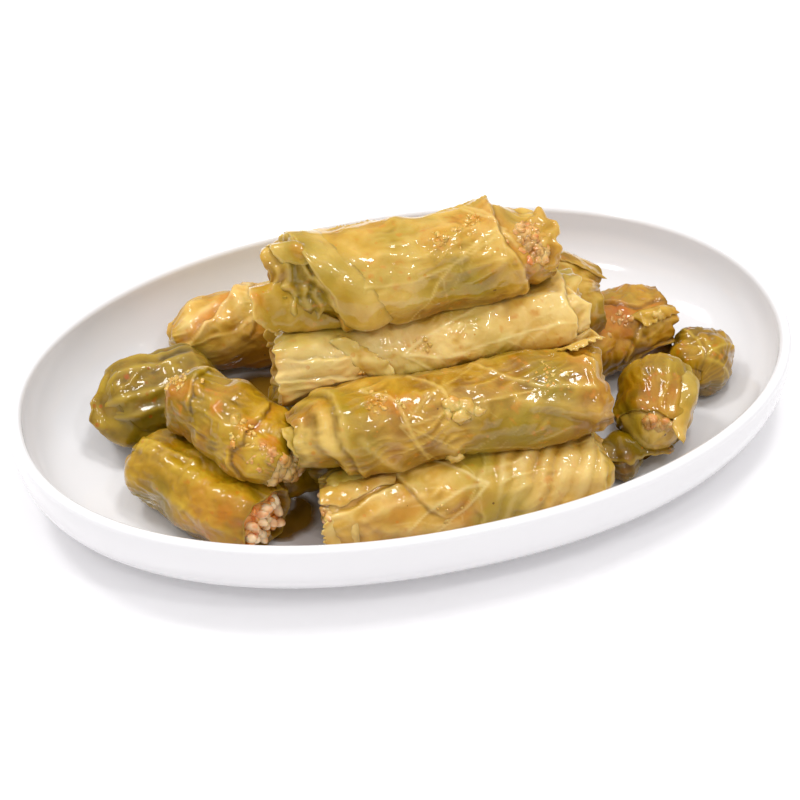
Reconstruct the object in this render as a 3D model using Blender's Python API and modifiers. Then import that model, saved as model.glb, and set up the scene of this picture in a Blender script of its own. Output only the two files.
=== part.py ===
"""Oval white platter with a heaped pile of stuffed cabbage rolls.

Metres, +Z up. The origin is the middle of the platter's underside, +X runs along the
platter's long axis. Each roll is a leaf wrap laid along its own axis; where the filling
shows at an end, the filling is a second solid that runs through the wrap.
"""
import math

import bmesh
import bpy
from mathutils import Vector
from mathutils.bvhtree import BVHTree

MM = 0.001

# Driving dimensions of the platter, in millimetres.
HALF_LENGTH = 125.0
HALF_WIDTH = 77.8
HEIGHT = 30.0
OUTLINE_POWER = 2.12
RIM_WIDTH = 4.0
RIM_ROUND = 2.0
FLOOR_TOP = 5.0
WALL_REACH = 30.0
INNER_POWER = 2.3
OUTER_POWER = 2.6
FOOT_INSET = 30.5
FOOT_WIDTH = 4.0
UNDERSIDE = 1.3
OVAL_BLEND_START = 0.45
OVAL_BLEND_LENGTH = 0.25
TURN_STEPS = 60

# Driving dimensions shared by the rolls, in millimetres.
COLUMNS = 20
BODY_ROWS = 8
LEAF = 1.3
SEAM = 1.2
WRAP_WALL = 2.2
FIT_GAP = 0.35
CLEARANCE = 0.5
SHRINK_STEP = 0.3
SECTION_POWER = 2.25
TOOTH_DEPTH = 1.6
TOOTH_TURN = 2.4
TUCK_REACH = 0.75
TUCK_NARROW = 0.38
TUCK_DOME = 1.2
RUFFLE_WAVE = 0.05
CAP_RECESS = 3.0
CAP_GUARD = 0.2
FILLING_BULGE = 2.2
SMALLEST_RADIUS = 0.6

# How the rows and columns lie: angles in radians, places as a share of the roll's length.
SEAM_GAP = 0.06
EDGE_RAMP = 0.02
EDGE_PAIR = 0.011
EDGE_CLEAR = 0.045
EDGE_PULL = 0.14
END_ROWS = {"tucked": (0.0, 0.22, 0.60), "open": (0.0, 0.25), "ruffled": (0.0, 0.40)}

# Soft lumps of the filling under the leaf: (height, waves along, waves round).
LUMPS = ((0.45, 9.0, 2), (0.35, 17.0, -3))

# The pile, bottom layer first, in millimetres: the middle of the left end, the middle of
# the right end, half the width and half the height of the section.
# "edges": leaf edges that cross the roll, as (place along it, slant, which side is thicker).
# "seam": the angle of the lengthwise leaf edge in degrees, from the side over the top.
# "filling": the end at which the filling shows. "sag": how far the middle hangs down.
ROLLS = {
    "roll_front": dict(left=(-37.7, -47.2, 18.0), right=(50.2, -50.8, 18.0), size=(13.5, 13.0),
                       ends=("open", "ruffled"), edges=((0.22, 0.10, 1), (0.55, -0.06, -1)),
                       seam=150, filling="left", tint="cream"),
    "roll_left_open": dict(left=(-87.2, -5.8, 17.0), right=(-57.3, -44.5, 17.0), size=(13.0, 12.0),
                           ends=("tucked", "open"), edges=((0.35, 0.12, 1),),
                           seam=70, filling="right", tint="olive"),
    "roll_under_front": dict(left=(-40.4, -21.2, 18.0), right=(52.0, -24.5, 18.0), size=(12.5, 12.5),
                             ends=("tucked", "tucked"), edges=((0.40, 0.10, 1),),
                             seam=200, tint="olive"),
    "roll_under_back": dict(left=(-42.0, 4.0, 18.0), right=(-6.0, 5.0, 18.0), size=(12.5, 12.5),
                            ends=("tucked", "tucked"), edges=((0.60, 0.10, -1),),
                            seam=20, tint="olive"),
    "roll_right_brown": dict(left=(14.0, 6.0, 18.0), right=(87.5, 8.5, 18.5), size=(12.8, 12.3),
                             ends=("tucked", "ruffled"), edges=((0.62, 0.10, -1),),
                             seam=100, tint="brown"),
    "roll_left_dark": dict(left=(-94.5, 17.5, 18.0), right=(-58.0, 17.0, 18.0), size=(14.5, 13.2),
                           ends=("tucked", "tucked"), edges=((0.50, 0.10, 1),),
                           seam=120, tint="dark olive"),
    "roll_back_left": dict(left=(-66.0, 43.5, 18.8), right=(16.0, 42.0, 18.0), size=(12.8, 12.4),
                           ends=("tucked", "tucked"), edges=((0.35, 0.12, 1),),
                           seam=80, tint="cream"),
    "roll_right_green": dict(left=(91.0, -18.0, 15.3), right=(100.5, -1.0, 15.3), size=(10.8, 10.2),
                             ends=("tucked", "tucked"), edges=(), seam=60, tint="olive"),
    "roll_right_open": dict(left=(68.2, -37.5, 17.8), right=(79.0, -16.5, 20.0), size=(12.0, 12.0),
                            ends=("open", "tucked"), edges=(),
                            seam=20, filling="left", tint="yellow"),
    "leaf_end_right": dict(left=(52.5, -41.5, 11.5), right=(62.0, -42.0, 11.0), size=(8.0, 6.0),
                           ends=("tucked", "tucked"), edges=(), seam=60, tint="olive"),
    "roll_back": dict(left=(-28.0, 9.0, 42.0), right=(64.5, 7.5, 37.5), size=(13.5, 13.2),
                      ends=("tucked", "ruffled"), edges=((0.70, 0.10, 1),),
                      seam=90, sag=1.0, tint="yellow"),
    "roll_middle": dict(left=(-39.7, -35.5, 39.0), right=(51.4, -38.5, 39.0), size=(13.5, 12.5),
                        ends=("ruffled", "ruffled"), edges=((0.06, 0.05, 1), (0.17, 0.07, 1)),
                        seam=240, sag=0.8, tint="yellow"),
    "roll_left_over": dict(left=(-72.3, -0.8, 37.0), right=(-49.5, -38.5, 31.0), size=(12.3, 12.0),
                           ends=("tucked", "open"), edges=((0.30, 0.12, 1),),
                           seam=60, filling="right", tint="olive"),
    "roll_upper": dict(left=(-41.7, -11.2, 46.5), right=(53.2, -13.0, 46.5), size=(13.5, 13.5),
                       ends=("ruffled", "ruffled"), edges=((0.30, 0.16, 1), (0.92, 0.04, 1)),
                       seam=210, sag=0.8, tint="cream"),
    "roll_top": dict(left=(-41.6, -1.7, 68.5), right=(42.8, -2.3, 68.5), size=(14.5, 14.0),
                     ends=("ruffled", "open"), edges=((0.14, 0.06, 1), (0.80, 0.08, -1)),
                     seam=190, filling="right", sag=0.6, tint="yellow"),
}

# Colour and roughness of each finish.
FINISHES = {
    "porcelain": ((0.86, 0.86, 0.87), 0.15),
    "cream": ((0.66, 0.48, 0.17), 0.30),
    "yellow": ((0.56, 0.41, 0.11), 0.30),
    "olive": ((0.30, 0.25, 0.04), 0.32),
    "dark olive": ((0.20, 0.19, 0.05), 0.32),
    "brown": ((0.42, 0.24, 0.08), 0.34),
    "filling": ((0.62, 0.27, 0.12), 0.45),
}


def clear_scene():
    for item in list(bpy.data.objects):
        bpy.data.objects.remove(item, do_unlink=True)


def finish(name):
    material = bpy.data.materials.get(name)
    if material:
        return material
    colour, roughness = FINISHES[name]
    material = bpy.data.materials.new(name)
    material.use_nodes = True
    shader = material.node_tree.nodes["Principled BSDF"]
    shader.inputs["Base Color"].default_value = (*colour, 1.0)
    shader.inputs["Roughness"].default_value = roughness
    shader.inputs["Metallic"].default_value = 0.0
    return material


def smooth(value):
    value = min(max(value, 0.0), 1.0)
    return value * value * (3.0 - 2.0 * value)


def signed_power(value, power):
    return math.copysign(abs(value) ** power, value)


def quarter_curve(inset, top, reach, drop, power, steps):
    """Points (inset from the rim, height) down a rounded wall, from its top to its foot."""
    points = []
    for step in range(steps + 1):
        angle = math.pi / 2 * step / steps
        across = reach * math.cos(angle) ** (2 / power)
        down = drop * math.sin(angle) ** (2 / power)
        points.append((inset - across, top - down))
    return points


def platter_profile():
    """Half section from the middle of the floor over the rim to the middle underneath."""
    rim_base = HEIGHT - RIM_ROUND
    inner = quarter_curve(RIM_WIDTH + WALL_REACH, rim_base, WALL_REACH,
                          rim_base - FLOOR_TOP, INNER_POWER, 7)
    rim = []
    for step in range(1, 4):
        angle = math.pi * step / 4
        rim.append((RIM_WIDTH / 2 * (1 + math.cos(angle)), rim_base + RIM_ROUND * math.sin(angle)))
    outer = quarter_curve(FOOT_INSET, rim_base, FOOT_INSET, rim_base - UNDERSIDE, OUTER_POWER, 6)
    foot = [(FOOT_INSET + 0.5, 0.0), (FOOT_INSET + FOOT_WIDTH, 0.0),
            (FOOT_INSET + FOOT_WIDTH + 0.8, UNDERSIDE)]
    middle = [(HALF_LENGTH, FLOOR_TOP)]
    return middle + inner[::-1] + rim + outer + foot + [(HALF_LENGTH, UNDERSIDE)]


def oval(x, y):
    """Carry a point of the turned round dish to the oval, with the same inset from the rim."""
    radius = math.hypot(x, y)
    if radius < 1e-6:
        return 0.0, 0.0
    ratio = HALF_WIDTH / HALF_LENGTH
    blend = smooth((radius / HALF_LENGTH - OVAL_BLEND_START) / OVAL_BLEND_LENGTH)
    short = radius * ratio + (radius - HALF_LENGTH) * (1 - ratio) * blend
    power = 2 / OUTLINE_POWER
    return radius * signed_power(x / radius, power), short * signed_power(y / radius, power)


def make_platter(collection):
    mesh = bpy.data.meshes.new("platter_profile")
    points = [((HALF_LENGTH - inset) * MM, 0.0, height * MM) for inset, height in platter_profile()]
    mesh.from_pydata(points, [(i, i + 1) for i in range(len(points) - 1)], [])
    turned = bpy.data.objects.new("platter_profile", mesh)
    collection.objects.link(turned)
    screw = turned.modifiers.new("Turn", "SCREW")
    screw.axis = "Z"
    screw.steps = TURN_STEPS
    screw.render_steps = TURN_STEPS
    screw.use_merge_vertices = True
    screw.merge_threshold = 0.00005
    graph = bpy.context.evaluated_depsgraph_get()
    solid = bpy.data.meshes.new_from_object(turned.evaluated_get(graph))
    bpy.data.objects.remove(turned, do_unlink=True)
    for vertex in solid.vertices:
        x, y = oval(vertex.co.x / MM, vertex.co.y / MM)
        vertex.co.x = x * MM
        vertex.co.y = y * MM
    platter = bpy.data.objects.new("platter", solid)
    collection.objects.link(platter)
    solid.shade_smooth()
    solid.materials.clear()
    solid.materials.append(finish("porcelain"))
    return platter


class Roll:
    """The axis, section and leaf relief of one roll; lengths in millimetres."""

    def __init__(self, name, spec, number):
        self.name = name
        self.left = Vector(spec["left"])
        self.right = Vector(spec["right"])
        self.width, self.height = spec["size"]
        self.ends = spec["ends"]
        self.edges = spec["edges"]
        self.seam = math.radians(spec["seam"])
        self.filling = spec.get("filling")
        self.sag = spec.get("sag", 0.0)
        self.tint = spec["tint"]
        self.phase = 1.7 * number
        along = self.right - self.left
        self.length = along.length
        self.along = along.normalized()
        self.side = Vector((0, 0, 1)).cross(self.along).normalized()
        self.up = self.along.cross(self.side)

    def centre(self, place):
        """A point on the axis; place runs from 0 at the left end to 1 at the right end."""
        dip = self.sag * 4 * place * (1 - place)
        return self.left + self.along * (self.length * place) - self.up * dip

    def ray(self, angle):
        return self.side * math.cos(angle) + self.up * math.sin(angle)

    def section(self, angle):
        """Radius of the rounded section at an angle."""
        across = abs(math.cos(angle) / self.width) ** SECTION_POWER
        down = abs(math.sin(angle) / self.height) ** SECTION_POWER
        return (across + down) ** (-1 / SECTION_POWER)

    def edge_place(self, edge, angle):
        place, slant, _ = edge
        return place + slant * math.sin(angle - 0.6)

    def relief(self, place, angle):
        """Leaf steps, the lengthwise seam and soft lumps, added to the section's radius."""
        total = 0.0
        for edge in self.edges:
            offset = (place - self.edge_place(edge, angle)) * edge[2]
            total += LEAF * (smooth(offset / EDGE_RAMP + 0.5) - 0.5)
        turn = ((angle - self.seam) / (2 * math.pi)) % 1.0
        total += SEAM * (turn - 0.5)
        for number, (height, waves, turns) in enumerate(LUMPS, 1):
            total += height * math.sin(waves * place + turns * angle + number * self.phase)
        return total

    def end_shape(self, place, angle):
        """Factor on the radius near the two ends."""
        reach = place * self.length
        style = self.ends[0]
        if place > 0.5:
            reach = (1 - place) * self.length
            style = self.ends[1]
        if style == "tucked":
            near = min(reach / (TUCK_REACH * self.height), 1.0)
            return math.sqrt(max(1 - (1 - near) ** 2, 0.0)) * (1 - TUCK_NARROW) + TUCK_NARROW
        if style == "ruffled":
            wave = RUFFLE_WAVE * math.sin(5 * angle + self.phase) * (1 - smooth(reach / 12.0))
            return 0.97 + 0.03 * smooth(reach / 6.0) + wave
        return 0.95 + 0.05 * smooth(reach / 5.0)

    def tooth(self, place, column):
        """How far the leaf's ragged rim stands out along the axis at an end."""
        style = self.ends[0] if place < 0.5 else self.ends[1]
        outward = -1 if place < 0.5 else 1
        if style == "tucked":
            return 0.0
        return outward * TOOTH_DEPTH * (0.5 + 0.5 * math.sin(TOOTH_TURN * column + self.phase))

    def columns(self):
        """Angles round the section, with a close pair at the lengthwise seam."""
        spread = 2 * math.pi / (COLUMNS - 1)
        between = [self.seam + spread * i for i in range(1, COLUMNS - 1)]
        return [self.seam + SEAM_GAP] + between + [self.seam + 2 * math.pi - SEAM_GAP]

    def rows(self):
        """Functions of the angle that give the place of each row along the roll."""
        unit = min(TUCK_REACH * self.height / self.length, 0.3)
        first = [unit * step for step in END_ROWS[self.ends[0]]]
        last = [1 - unit * step for step in END_ROWS[self.ends[1]]][::-1]
        low = unit * 1.1
        body = [low + (1 - 2 * low) * i / (BODY_ROWS - 1) for i in range(BODY_ROWS)]
        rows = [(place, None) for place in first + body + last]
        for edge in self.edges:
            rows = [row for row in rows if row[1] or abs(row[0] - edge[0]) > EDGE_CLEAR]
            rows += [(edge[0] - EDGE_PAIR, edge), (edge[0] + EDGE_PAIR, edge)]
        rows.sort(key=lambda row: row[0])
        return rows

    def row_place(self, row, angle):
        """The place of a row at an angle: rows beside a leaf edge follow its slant."""
        place, edge = row
        pull = 0.0
        for other in self.edges:
            weight = max(0.0, 1 - abs(place - other[0]) / EDGE_PULL)
            if edge:
                weight = 1.0 if edge is other else 0.0
            pull += weight * (self.edge_place(other, angle) - other[0])
        return min(max(place + pull * 4 * place * (1 - place) * 0.9, 0.0), 1.0)


def free_reach(origin, direction, wanted, obstacles):
    """How far a point may stand from the axis before it meets what is already laid."""
    for tree in obstacles:
        hit = tree.ray_cast(origin, direction, wanted + CLEARANCE)
        if hit[0] is not None:
            wanted = min(wanted, hit[3] - CLEARANCE)
    return max(wanted, SMALLEST_RADIUS)


def too_close(point, obstacles):
    return any(tree.find_nearest(point, CLEARANCE * 0.8)[0] is not None for tree in obstacles)


def outer_skin(roll, obstacles):
    """Rows of (axis point, ray, radius) for the wrap, pressed flat where it meets the pile."""
    angles = roll.columns()
    rows = roll.rows()
    skin = []
    for number, row in enumerate(rows):
        line = []
        for column, angle in enumerate(angles):
            place = roll.row_place(row, angle)
            axis = roll.centre(place)
            ray = roll.ray(angle)
            wanted = (roll.section(angle) + roll.relief(place, angle)) * roll.end_shape(place, angle)
            if number in (0, len(rows) - 1):
                axis = axis + roll.along * roll.tooth(place, column)
            radius = free_reach(axis, ray, wanted, obstacles)
            while radius > 1.0 and too_close(axis + ray * radius, obstacles):
                radius -= SHRINK_STEP
            line.append([axis, ray, radius])
        skin.append(line)
    return skin


def skin_points(skin):
    return [[axis + ray * radius for axis, ray, radius in line] for line in skin]


def cap(bm, ring, centre, outward):
    """Close a ring with a fan to one point."""
    middle = bm.verts.new(centre)
    count = len(ring)
    for i in range(count):
        a, b = ring[i], ring[(i + 1) % count]
        bm.faces.new((b, a, middle) if outward else (a, b, middle))


def sheet(bm, rings, inward):
    """Quads split alike between successive rings of vertices."""
    count = len(rings[0])
    for lower, upper in zip(rings, rings[1:]):
        for i in range(count):
            j = (i + 1) % count
            a, b, c, d = lower[i], lower[j], upper[j], upper[i]
            if inward:
                bm.faces.new((a, d, c))
                bm.faces.new((a, c, b))
            else:
                bm.faces.new((a, b, c))
                bm.faces.new((a, c, d))


def bridge(bm, wide, narrow, facing_end):
    """Flat ring between an outer rim and an inner rim with half as many points."""
    count = len(narrow)
    for i in range(count):
        a, b, c = wide[2 * i], wide[2 * i + 1], wide[(2 * i + 2) % len(wide)]
        p, q = narrow[i], narrow[(i + 1) % count]
        for face in ((a, b, p), (b, q, p), (b, c, q)):
            bm.faces.new(face[::-1] if facing_end else face)


def centre_of(ring):
    total = Vector((0, 0, 0))
    for point in ring:
        total += point
    return total / len(ring)


def bore(roll, skin, inset):
    """Rows for the inside of the wrap, or for the filling with a larger inset."""
    open_left = roll.filling == "left"
    order = skin if open_left else skin[::-1]
    rows = [0] + list(range(1, len(order) - 4, 2)) + [len(order) - 4]
    rings = []
    for row in rows:
        ring = []
        for column in range(0, COLUMNS, 2):
            axis, ray, radius = order[row][column]
            beside = [row] if inset == 0 else [max(row - 1, 0), row, row + 1]
            near = [order[line][(column + k) % COLUMNS][2] for line in beside for k in (-1, 0, 1)]
            ring.append((axis, ray, max(min(near) - WRAP_WALL - inset, 0.5)))
        rings.append(ring)
    return rings


def build_wrap(roll, skin):
    """The closed solid of one wrap, bored through from its open end if filling shows."""
    bm = bmesh.new()
    grid = skin_points(skin)
    rings = [[bm.verts.new(point) for point in line] for line in grid]
    sheet(bm, rings, inward=False)
    for side, ring, line in ((0, rings[0], grid[0]), (1, rings[-1], grid[-1])):
        outward = -1 if side == 0 else 1
        name = ("left", "right")[side]
        if roll.filling == name:
            inner = skin_points(bore(roll, skin, 0.0))
            inner_rings = [[bm.verts.new(point) for point in row] for row in inner]
            sheet(bm, inner_rings, inward=side == 0)
            bridge(bm, ring, inner_rings[0], facing_end=side == 0)
            cap(bm, inner_rings[-1], centre_of(inner[-1]), outward=side == 0)
            continue
        style = roll.ends[side]
        depth = TUCK_DOME if style == "tucked" else -CAP_RECESS
        centre = centre_of(line) + roll.along * outward * depth
        cap(bm, ring, centre, outward=side == 0)
    return bm


def build_filling(roll, skin):
    """The filling: a lumpy core that follows the bore and shows in the open end."""
    bm = bmesh.new()
    rings = bore(roll, skin, FIT_GAP)
    open_left = roll.filling == "left"
    inward = -1 if not open_left else 1
    grid = []
    for number, ring in enumerate(rings):
        shift = 0.0
        if number == 0:
            shift = 1.0 + TOOTH_DEPTH * 0.5
        if number == len(rings) - 1:
            shift = -2.0 * FIT_GAP
        grid.append([axis + roll.along * inward * shift + ray * radius for axis, ray, radius in ring])
    vertices = [[bm.verts.new(point) for point in line] for line in grid]
    sheet(bm, vertices, inward=not open_left)
    face = centre_of(grid[0]) - roll.along * inward * FILLING_BULGE
    cap(bm, vertices[0], face, outward=open_left)
    cap(bm, vertices[-1], centre_of(grid[-1]), outward=not open_left)
    return bm


def tree_of(bm):
    bm.normal_update()
    return BVHTree.FromBMesh(bm)


def settle(roll, skin, obstacles):
    """Draw in the skin wherever a flat facet still meets what is already laid."""
    for _ in range(40):
        bm = bmesh.new()
        grid = skin_points(skin)
        rings = [[bm.verts.new(point) for point in line] for line in grid]
        sheet(bm, rings, inward=False)
        for side, ring in ((0, rings[0]), (1, rings[-1])):
            style = roll.ends[side]
            outward = -1 if side == 0 else 1
            depth = TUCK_DOME if style == "tucked" else CAP_GUARD
            middle = centre_of(grid[0 if side == 0 else -1]) + roll.along * outward * depth
            cap(bm, ring, middle, outward=side == 0)
        bm.verts.index_update()
        bm.faces.ensure_lookup_table()
        tree = tree_of(bm)
        marked = set()
        for obstacle in obstacles:
            for face, _other in tree.overlap(obstacle):
                for vertex in bm.faces[face].verts:
                    if vertex.index < len(rings) * COLUMNS:
                        marked.add(vertex.index)
        bm.free()
        if not marked:
            return True
        for index in marked:
            cell = skin[index // COLUMNS][index % COLUMNS]
            cell[2] = max(cell[2] - SHRINK_STEP, SMALLEST_RADIUS)
    return False


def make_object(name, bm, tint, collection):
    for vertex in bm.verts:
        vertex.co *= MM
    bmesh.ops.recalc_face_normals(bm, faces=bm.faces)
    mesh = bpy.data.meshes.new(name)
    bm.to_mesh(mesh)
    bm.free()
    mesh.shade_smooth()
    mesh.set_sharp_from_angle(angle=math.radians(50))
    mesh.materials.append(finish(tint))
    item = bpy.data.objects.new(name, mesh)
    collection.objects.link(item)
    return item


def platter_tree(platter):
    """The platter in millimetres, as something for the rolls to rest on."""
    bm = bmesh.new()
    bm.from_mesh(platter.data)
    for vertex in bm.verts:
        vertex.co /= MM
    tree = tree_of(bm)
    bm.free()
    return tree


def main():
    clear_scene()
    collection = bpy.data.collections.new("stuffed_cabbage_rolls_on_platter")
    bpy.context.scene.collection.children.link(collection)
    platter = make_platter(collection)
    laid = [platter_tree(platter)]
    for number, (name, spec) in enumerate(ROLLS.items()):
        roll = Roll(name, spec, number)
        skin = outer_skin(roll, laid)
        if not settle(roll, skin, laid):
            print("still touching:", name)
        wrap = build_wrap(roll, skin)
        shell = wrap.copy()
        laid.append(tree_of(shell))
        shell.free()
        make_object(name, wrap, roll.tint, collection)
        if roll.filling:
            core = build_filling(roll, skin)
            make_object(name.replace("roll", "filling"), core, "filling", collection)


main()
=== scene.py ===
import math

import bpy
import numpy as np
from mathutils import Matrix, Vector
from mathutils.bvhtree import BVHTree


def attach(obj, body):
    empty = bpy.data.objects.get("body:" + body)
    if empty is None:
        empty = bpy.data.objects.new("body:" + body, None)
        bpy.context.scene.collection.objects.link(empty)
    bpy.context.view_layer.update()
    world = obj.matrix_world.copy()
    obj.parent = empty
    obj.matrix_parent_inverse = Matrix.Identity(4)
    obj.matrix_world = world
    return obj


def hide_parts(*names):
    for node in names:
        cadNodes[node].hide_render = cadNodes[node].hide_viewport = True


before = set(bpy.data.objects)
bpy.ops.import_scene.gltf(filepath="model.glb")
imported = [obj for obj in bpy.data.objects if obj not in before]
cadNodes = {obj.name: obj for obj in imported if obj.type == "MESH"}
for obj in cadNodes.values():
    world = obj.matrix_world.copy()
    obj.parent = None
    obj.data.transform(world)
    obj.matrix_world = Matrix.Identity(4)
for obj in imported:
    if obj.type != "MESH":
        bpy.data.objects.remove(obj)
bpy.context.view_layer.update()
mm = 0.001

print("frame loaded:", len(cadNodes), "solids")


# small numeric helpers
def smoothStep(x):
    x = np.clip(x, 0.0, 1.0)
    return x * x * (3.0 - 2.0 * x)


def bell(x, width):
    return np.exp(-(x / width) ** 2)


def wrapAngle(a):
    return (a + math.pi) % (2 * math.pi) - math.pi


def tint(red, green, blue):
    # a colour as read from a screen, 0 to 255, made linear
    return tuple((c / 255) ** 2.2 for c in (red, green, blue))


noiseTable = np.random.default_rng(4021).permutation(256)
noiseSlopes = np.random.default_rng(77).normal(size=(256, 3))
noiseSlopes /= np.linalg.norm(noiseSlopes, axis=1)[:, None]


def softNoise(points, size, seed=0):
    # smooth noise between about -1 and 1 at points in millimetres, with lumps of the given size
    p = np.asarray(points, float) / size + seed * 7.31
    cell = np.floor(p).astype(int)
    part = p - cell
    fade = part * part * part * (part * (part * 6 - 15) + 10)
    total = np.zeros(p.shape[:-1])
    for corner in range(8):
        step = np.array([corner & 1, corner >> 1 & 1, corner >> 2 & 1])
        at = (cell + step) & 255
        pick = noiseTable[(noiseTable[(noiseTable[at[..., 0]] + at[..., 1]) & 255] + at[..., 2]) & 255]
        slope = (noiseSlopes[pick] * (part - step)).sum(-1)
        weight = np.where(step == 1, fade, 1 - fade).prod(-1)
        total += slope * weight
    return total * 1.8


def creaseNoise(points, size, seed=0):
    # thin ridges at 1, flat ground near 0
    return 1 - np.minimum(np.abs(softNoise(points, size, seed)) * 2.2, 1.0)


def smoothPath(path, count):
    # a rounded line through a few points
    p = np.asarray(path, float)
    ends = np.vstack([2 * p[0] - p[1], p, 2 * p[-1] - p[-2]])
    out = []
    for t in np.linspace(0, len(p) - 1, count):
        i = min(int(t), len(p) - 2)
        x = t - i
        a, b, c, d = ends[i:i + 4]
        out.append(0.5 * (2 * b + (c - a) * x + (2 * a - 5 * b + 4 * c - d) * x ** 2
                          + (3 * b - a - 3 * c + d) * x ** 3))
    return np.array(out)


def pathDistance(path, u, v, around):
    # distance to a line on the unrolled skin, which side, and how far past its ends
    middle = path[:, 1].mean()
    v = (v - middle + around / 2) % around - around / 2 + middle
    best = np.full(u.shape, 1e9)
    sign = np.ones(u.shape)
    past = np.zeros(u.shape)
    last = len(path) - 2
    for k in range(len(path) - 1):
        du, dv = path[k + 1] - path[k]
        size = du * du + dv * dv
        pu, pv = u - path[k, 0], v - path[k, 1]
        t = (pu * du + pv * dv) / size
        over = np.zeros(u.shape)
        if k == 0:
            over = np.maximum(over, -t * math.sqrt(size))
        if k == last:
            over = np.maximum(over, (t - 1) * math.sqrt(size))
        t = np.clip(t, 0, 1)
        gap = np.hypot(pu - t * du, pv - t * dv)
        near = gap < best
        best = np.where(near, gap, best)
        sign = np.where(near, np.where(du * pv - dv * pu > 0, 1.0, -1.0), sign)
        past = np.where(near, over, past)
    return best, sign, past


# the CAD surfaces that the fine surfaces are laid over
def nodeTree(name):
    mesh = cadNodes[name].data
    points = [v.co / mm for v in mesh.vertices]
    return BVHTree.FromPolygons(points, [tuple(f.vertices) for f in mesh.polygons])


nodeTrees = {name: nodeTree(name) for name in cadNodes}


def rollAxes(roll):
    left = np.array(roll["left"], float)
    right = np.array(roll["right"], float)
    along = right - left
    length = float(np.linalg.norm(along))
    along /= length
    side = np.cross([0, 0, 1], along)
    side /= np.linalg.norm(side)
    return left, along, side, np.cross(along, side), length


def blurRound(grid, times):
    for _ in range(times):
        grid = (np.roll(grid, 1, 1) + 2 * grid + np.roll(grid, -1, 1)) / 4
    return grid


def blurAlong(grid, times):
    for _ in range(times):
        grid = (np.vstack([grid[:1], grid[:-1]]) + 2 * grid + np.vstack([grid[1:], grid[-1:]])) / 4
    return grid


def resample(grid, rowPlaces, columnPlaces):
    # grid has even rows from 0 to 1 and even columns round the circle
    rows, columns = grid.shape
    across = np.hstack([grid, grid[:, :1]])
    places = (columnPlaces % 1.0) * columns
    low = np.floor(places).astype(int)
    part = places - low
    wide = across[:, low] * (1 - part) + across[:, low + 1] * part
    places = np.clip(rowPlaces, 0, 1) * (rows - 1)
    low = np.minimum(np.floor(places).astype(int), rows - 2)
    part = (places - low)[:, None]
    return wide[low] * (1 - part) + wide[low + 1] * part


measureGrid = {"rows": 44, "columns": 72, "rayStart": 40, "farRoom": 6.0, "inset": 0.004}


def measureRoll(roll):
    # radius of the CAD wrap and the room that its neighbours leave, seen from the axis
    left, along, side, up, length = rollAxes(roll)
    own = nodeTrees[roll["node"]]
    skip = (roll["node"], roll.get("fillingNode"))
    others = [tree for name, tree in nodeTrees.items() if name not in skip]
    rows, columns, start = measureGrid["rows"], measureGrid["columns"], measureGrid["rayStart"]
    inset = measureGrid["inset"]
    radius = np.full((rows, columns), np.nan)
    room = np.full((rows, columns), measureGrid["farRoom"])
    for i in range(rows):
        place = left + along * length * (inset + (1 - 2 * inset) * i / (rows - 1))
        for j in range(columns):
            angle = 2 * math.pi * j / columns
            ray = side * math.cos(angle) + up * math.sin(angle)
            hit = own.ray_cast(Vector(place + ray * start), Vector(-ray), start)
            if hit[0] is None:
                continue
            radius[i, j] = start - hit[3]
            for tree in others:
                near = tree.find_nearest(hit[0], room[i, j])
                if near[0] is not None:
                    room[i, j] = near[3]
    for j in range(columns):
        good = np.isfinite(radius[:, j])
        radius[:, j] = np.interp(np.arange(rows), np.arange(rows)[good], radius[good, j])
    roll["radius"] = blurAlong(blurRound(radius, 4), 2)
    roll["room"] = blurAlong(blurRound(room, 2), 1)


# shader node groups
def newGroup(name, inputs, outputs):
    group = bpy.data.node_groups.new(name, "ShaderNodeTree")
    for label, value in inputs:
        socket = group.interface.new_socket(name=label, in_out="INPUT", socket_type="NodeSocketFloat")
        socket.default_value = value
    for label in outputs:
        group.interface.new_socket(name=label, in_out="OUTPUT", socket_type="NodeSocketFloat")
    return group, group.nodes.new("NodeGroupInput"), group.nodes.new("NodeGroupOutput")


def mathNode(tree, operation, first, second=None, clamp=False):
    node = tree.nodes.new("ShaderNodeMath")
    node.operation = operation
    node.use_clamp = clamp
    for socket, value in ((0, first), (1, second)):
        if isinstance(value, (int, float)):
            node.inputs[socket].default_value = value
        elif value is not None:
            tree.links.new(value, node.inputs[socket])
    return node.outputs[0]


def mixColour(tree, factor, first, second, blend="MIX"):
    node = tree.nodes.new("ShaderNodeMix")
    node.data_type = "RGBA"
    node.blend_type = blend
    for socket, value in ((0, factor), (6, first), (7, second)):
        if isinstance(value, (int, float)):
            node.inputs[socket].default_value = value
        elif isinstance(value, tuple):
            node.inputs[socket].default_value = (*value, 1.0)
        else:
            tree.links.new(value, node.inputs[socket])
    return node.outputs[2]


def rangeNode(tree, value, low, high, first=0.0, last=1.0):
    node = tree.nodes.new("ShaderNodeMapRange")
    node.inputs["From Min"].default_value = low
    node.inputs["From Max"].default_value = high
    node.inputs["To Min"].default_value = first
    node.inputs["To Max"].default_value = last
    tree.links.new(value, node.inputs["Value"])
    return node.outputs[0]


def noiseNode(tree, place, scale, detail=2.0, distortion=0.0):
    node = tree.nodes.new("ShaderNodeTexNoise")
    node.inputs["Scale"].default_value = scale
    node.inputs["Detail"].default_value = detail
    node.inputs["Distortion"].default_value = distortion
    tree.links.new(place, node.inputs["Vector"])
    return node.outputs["Fac"]


def objectPlace(tree):
    return tree.nodes.new("ShaderNodeTexCoord").outputs["Object"]


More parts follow.
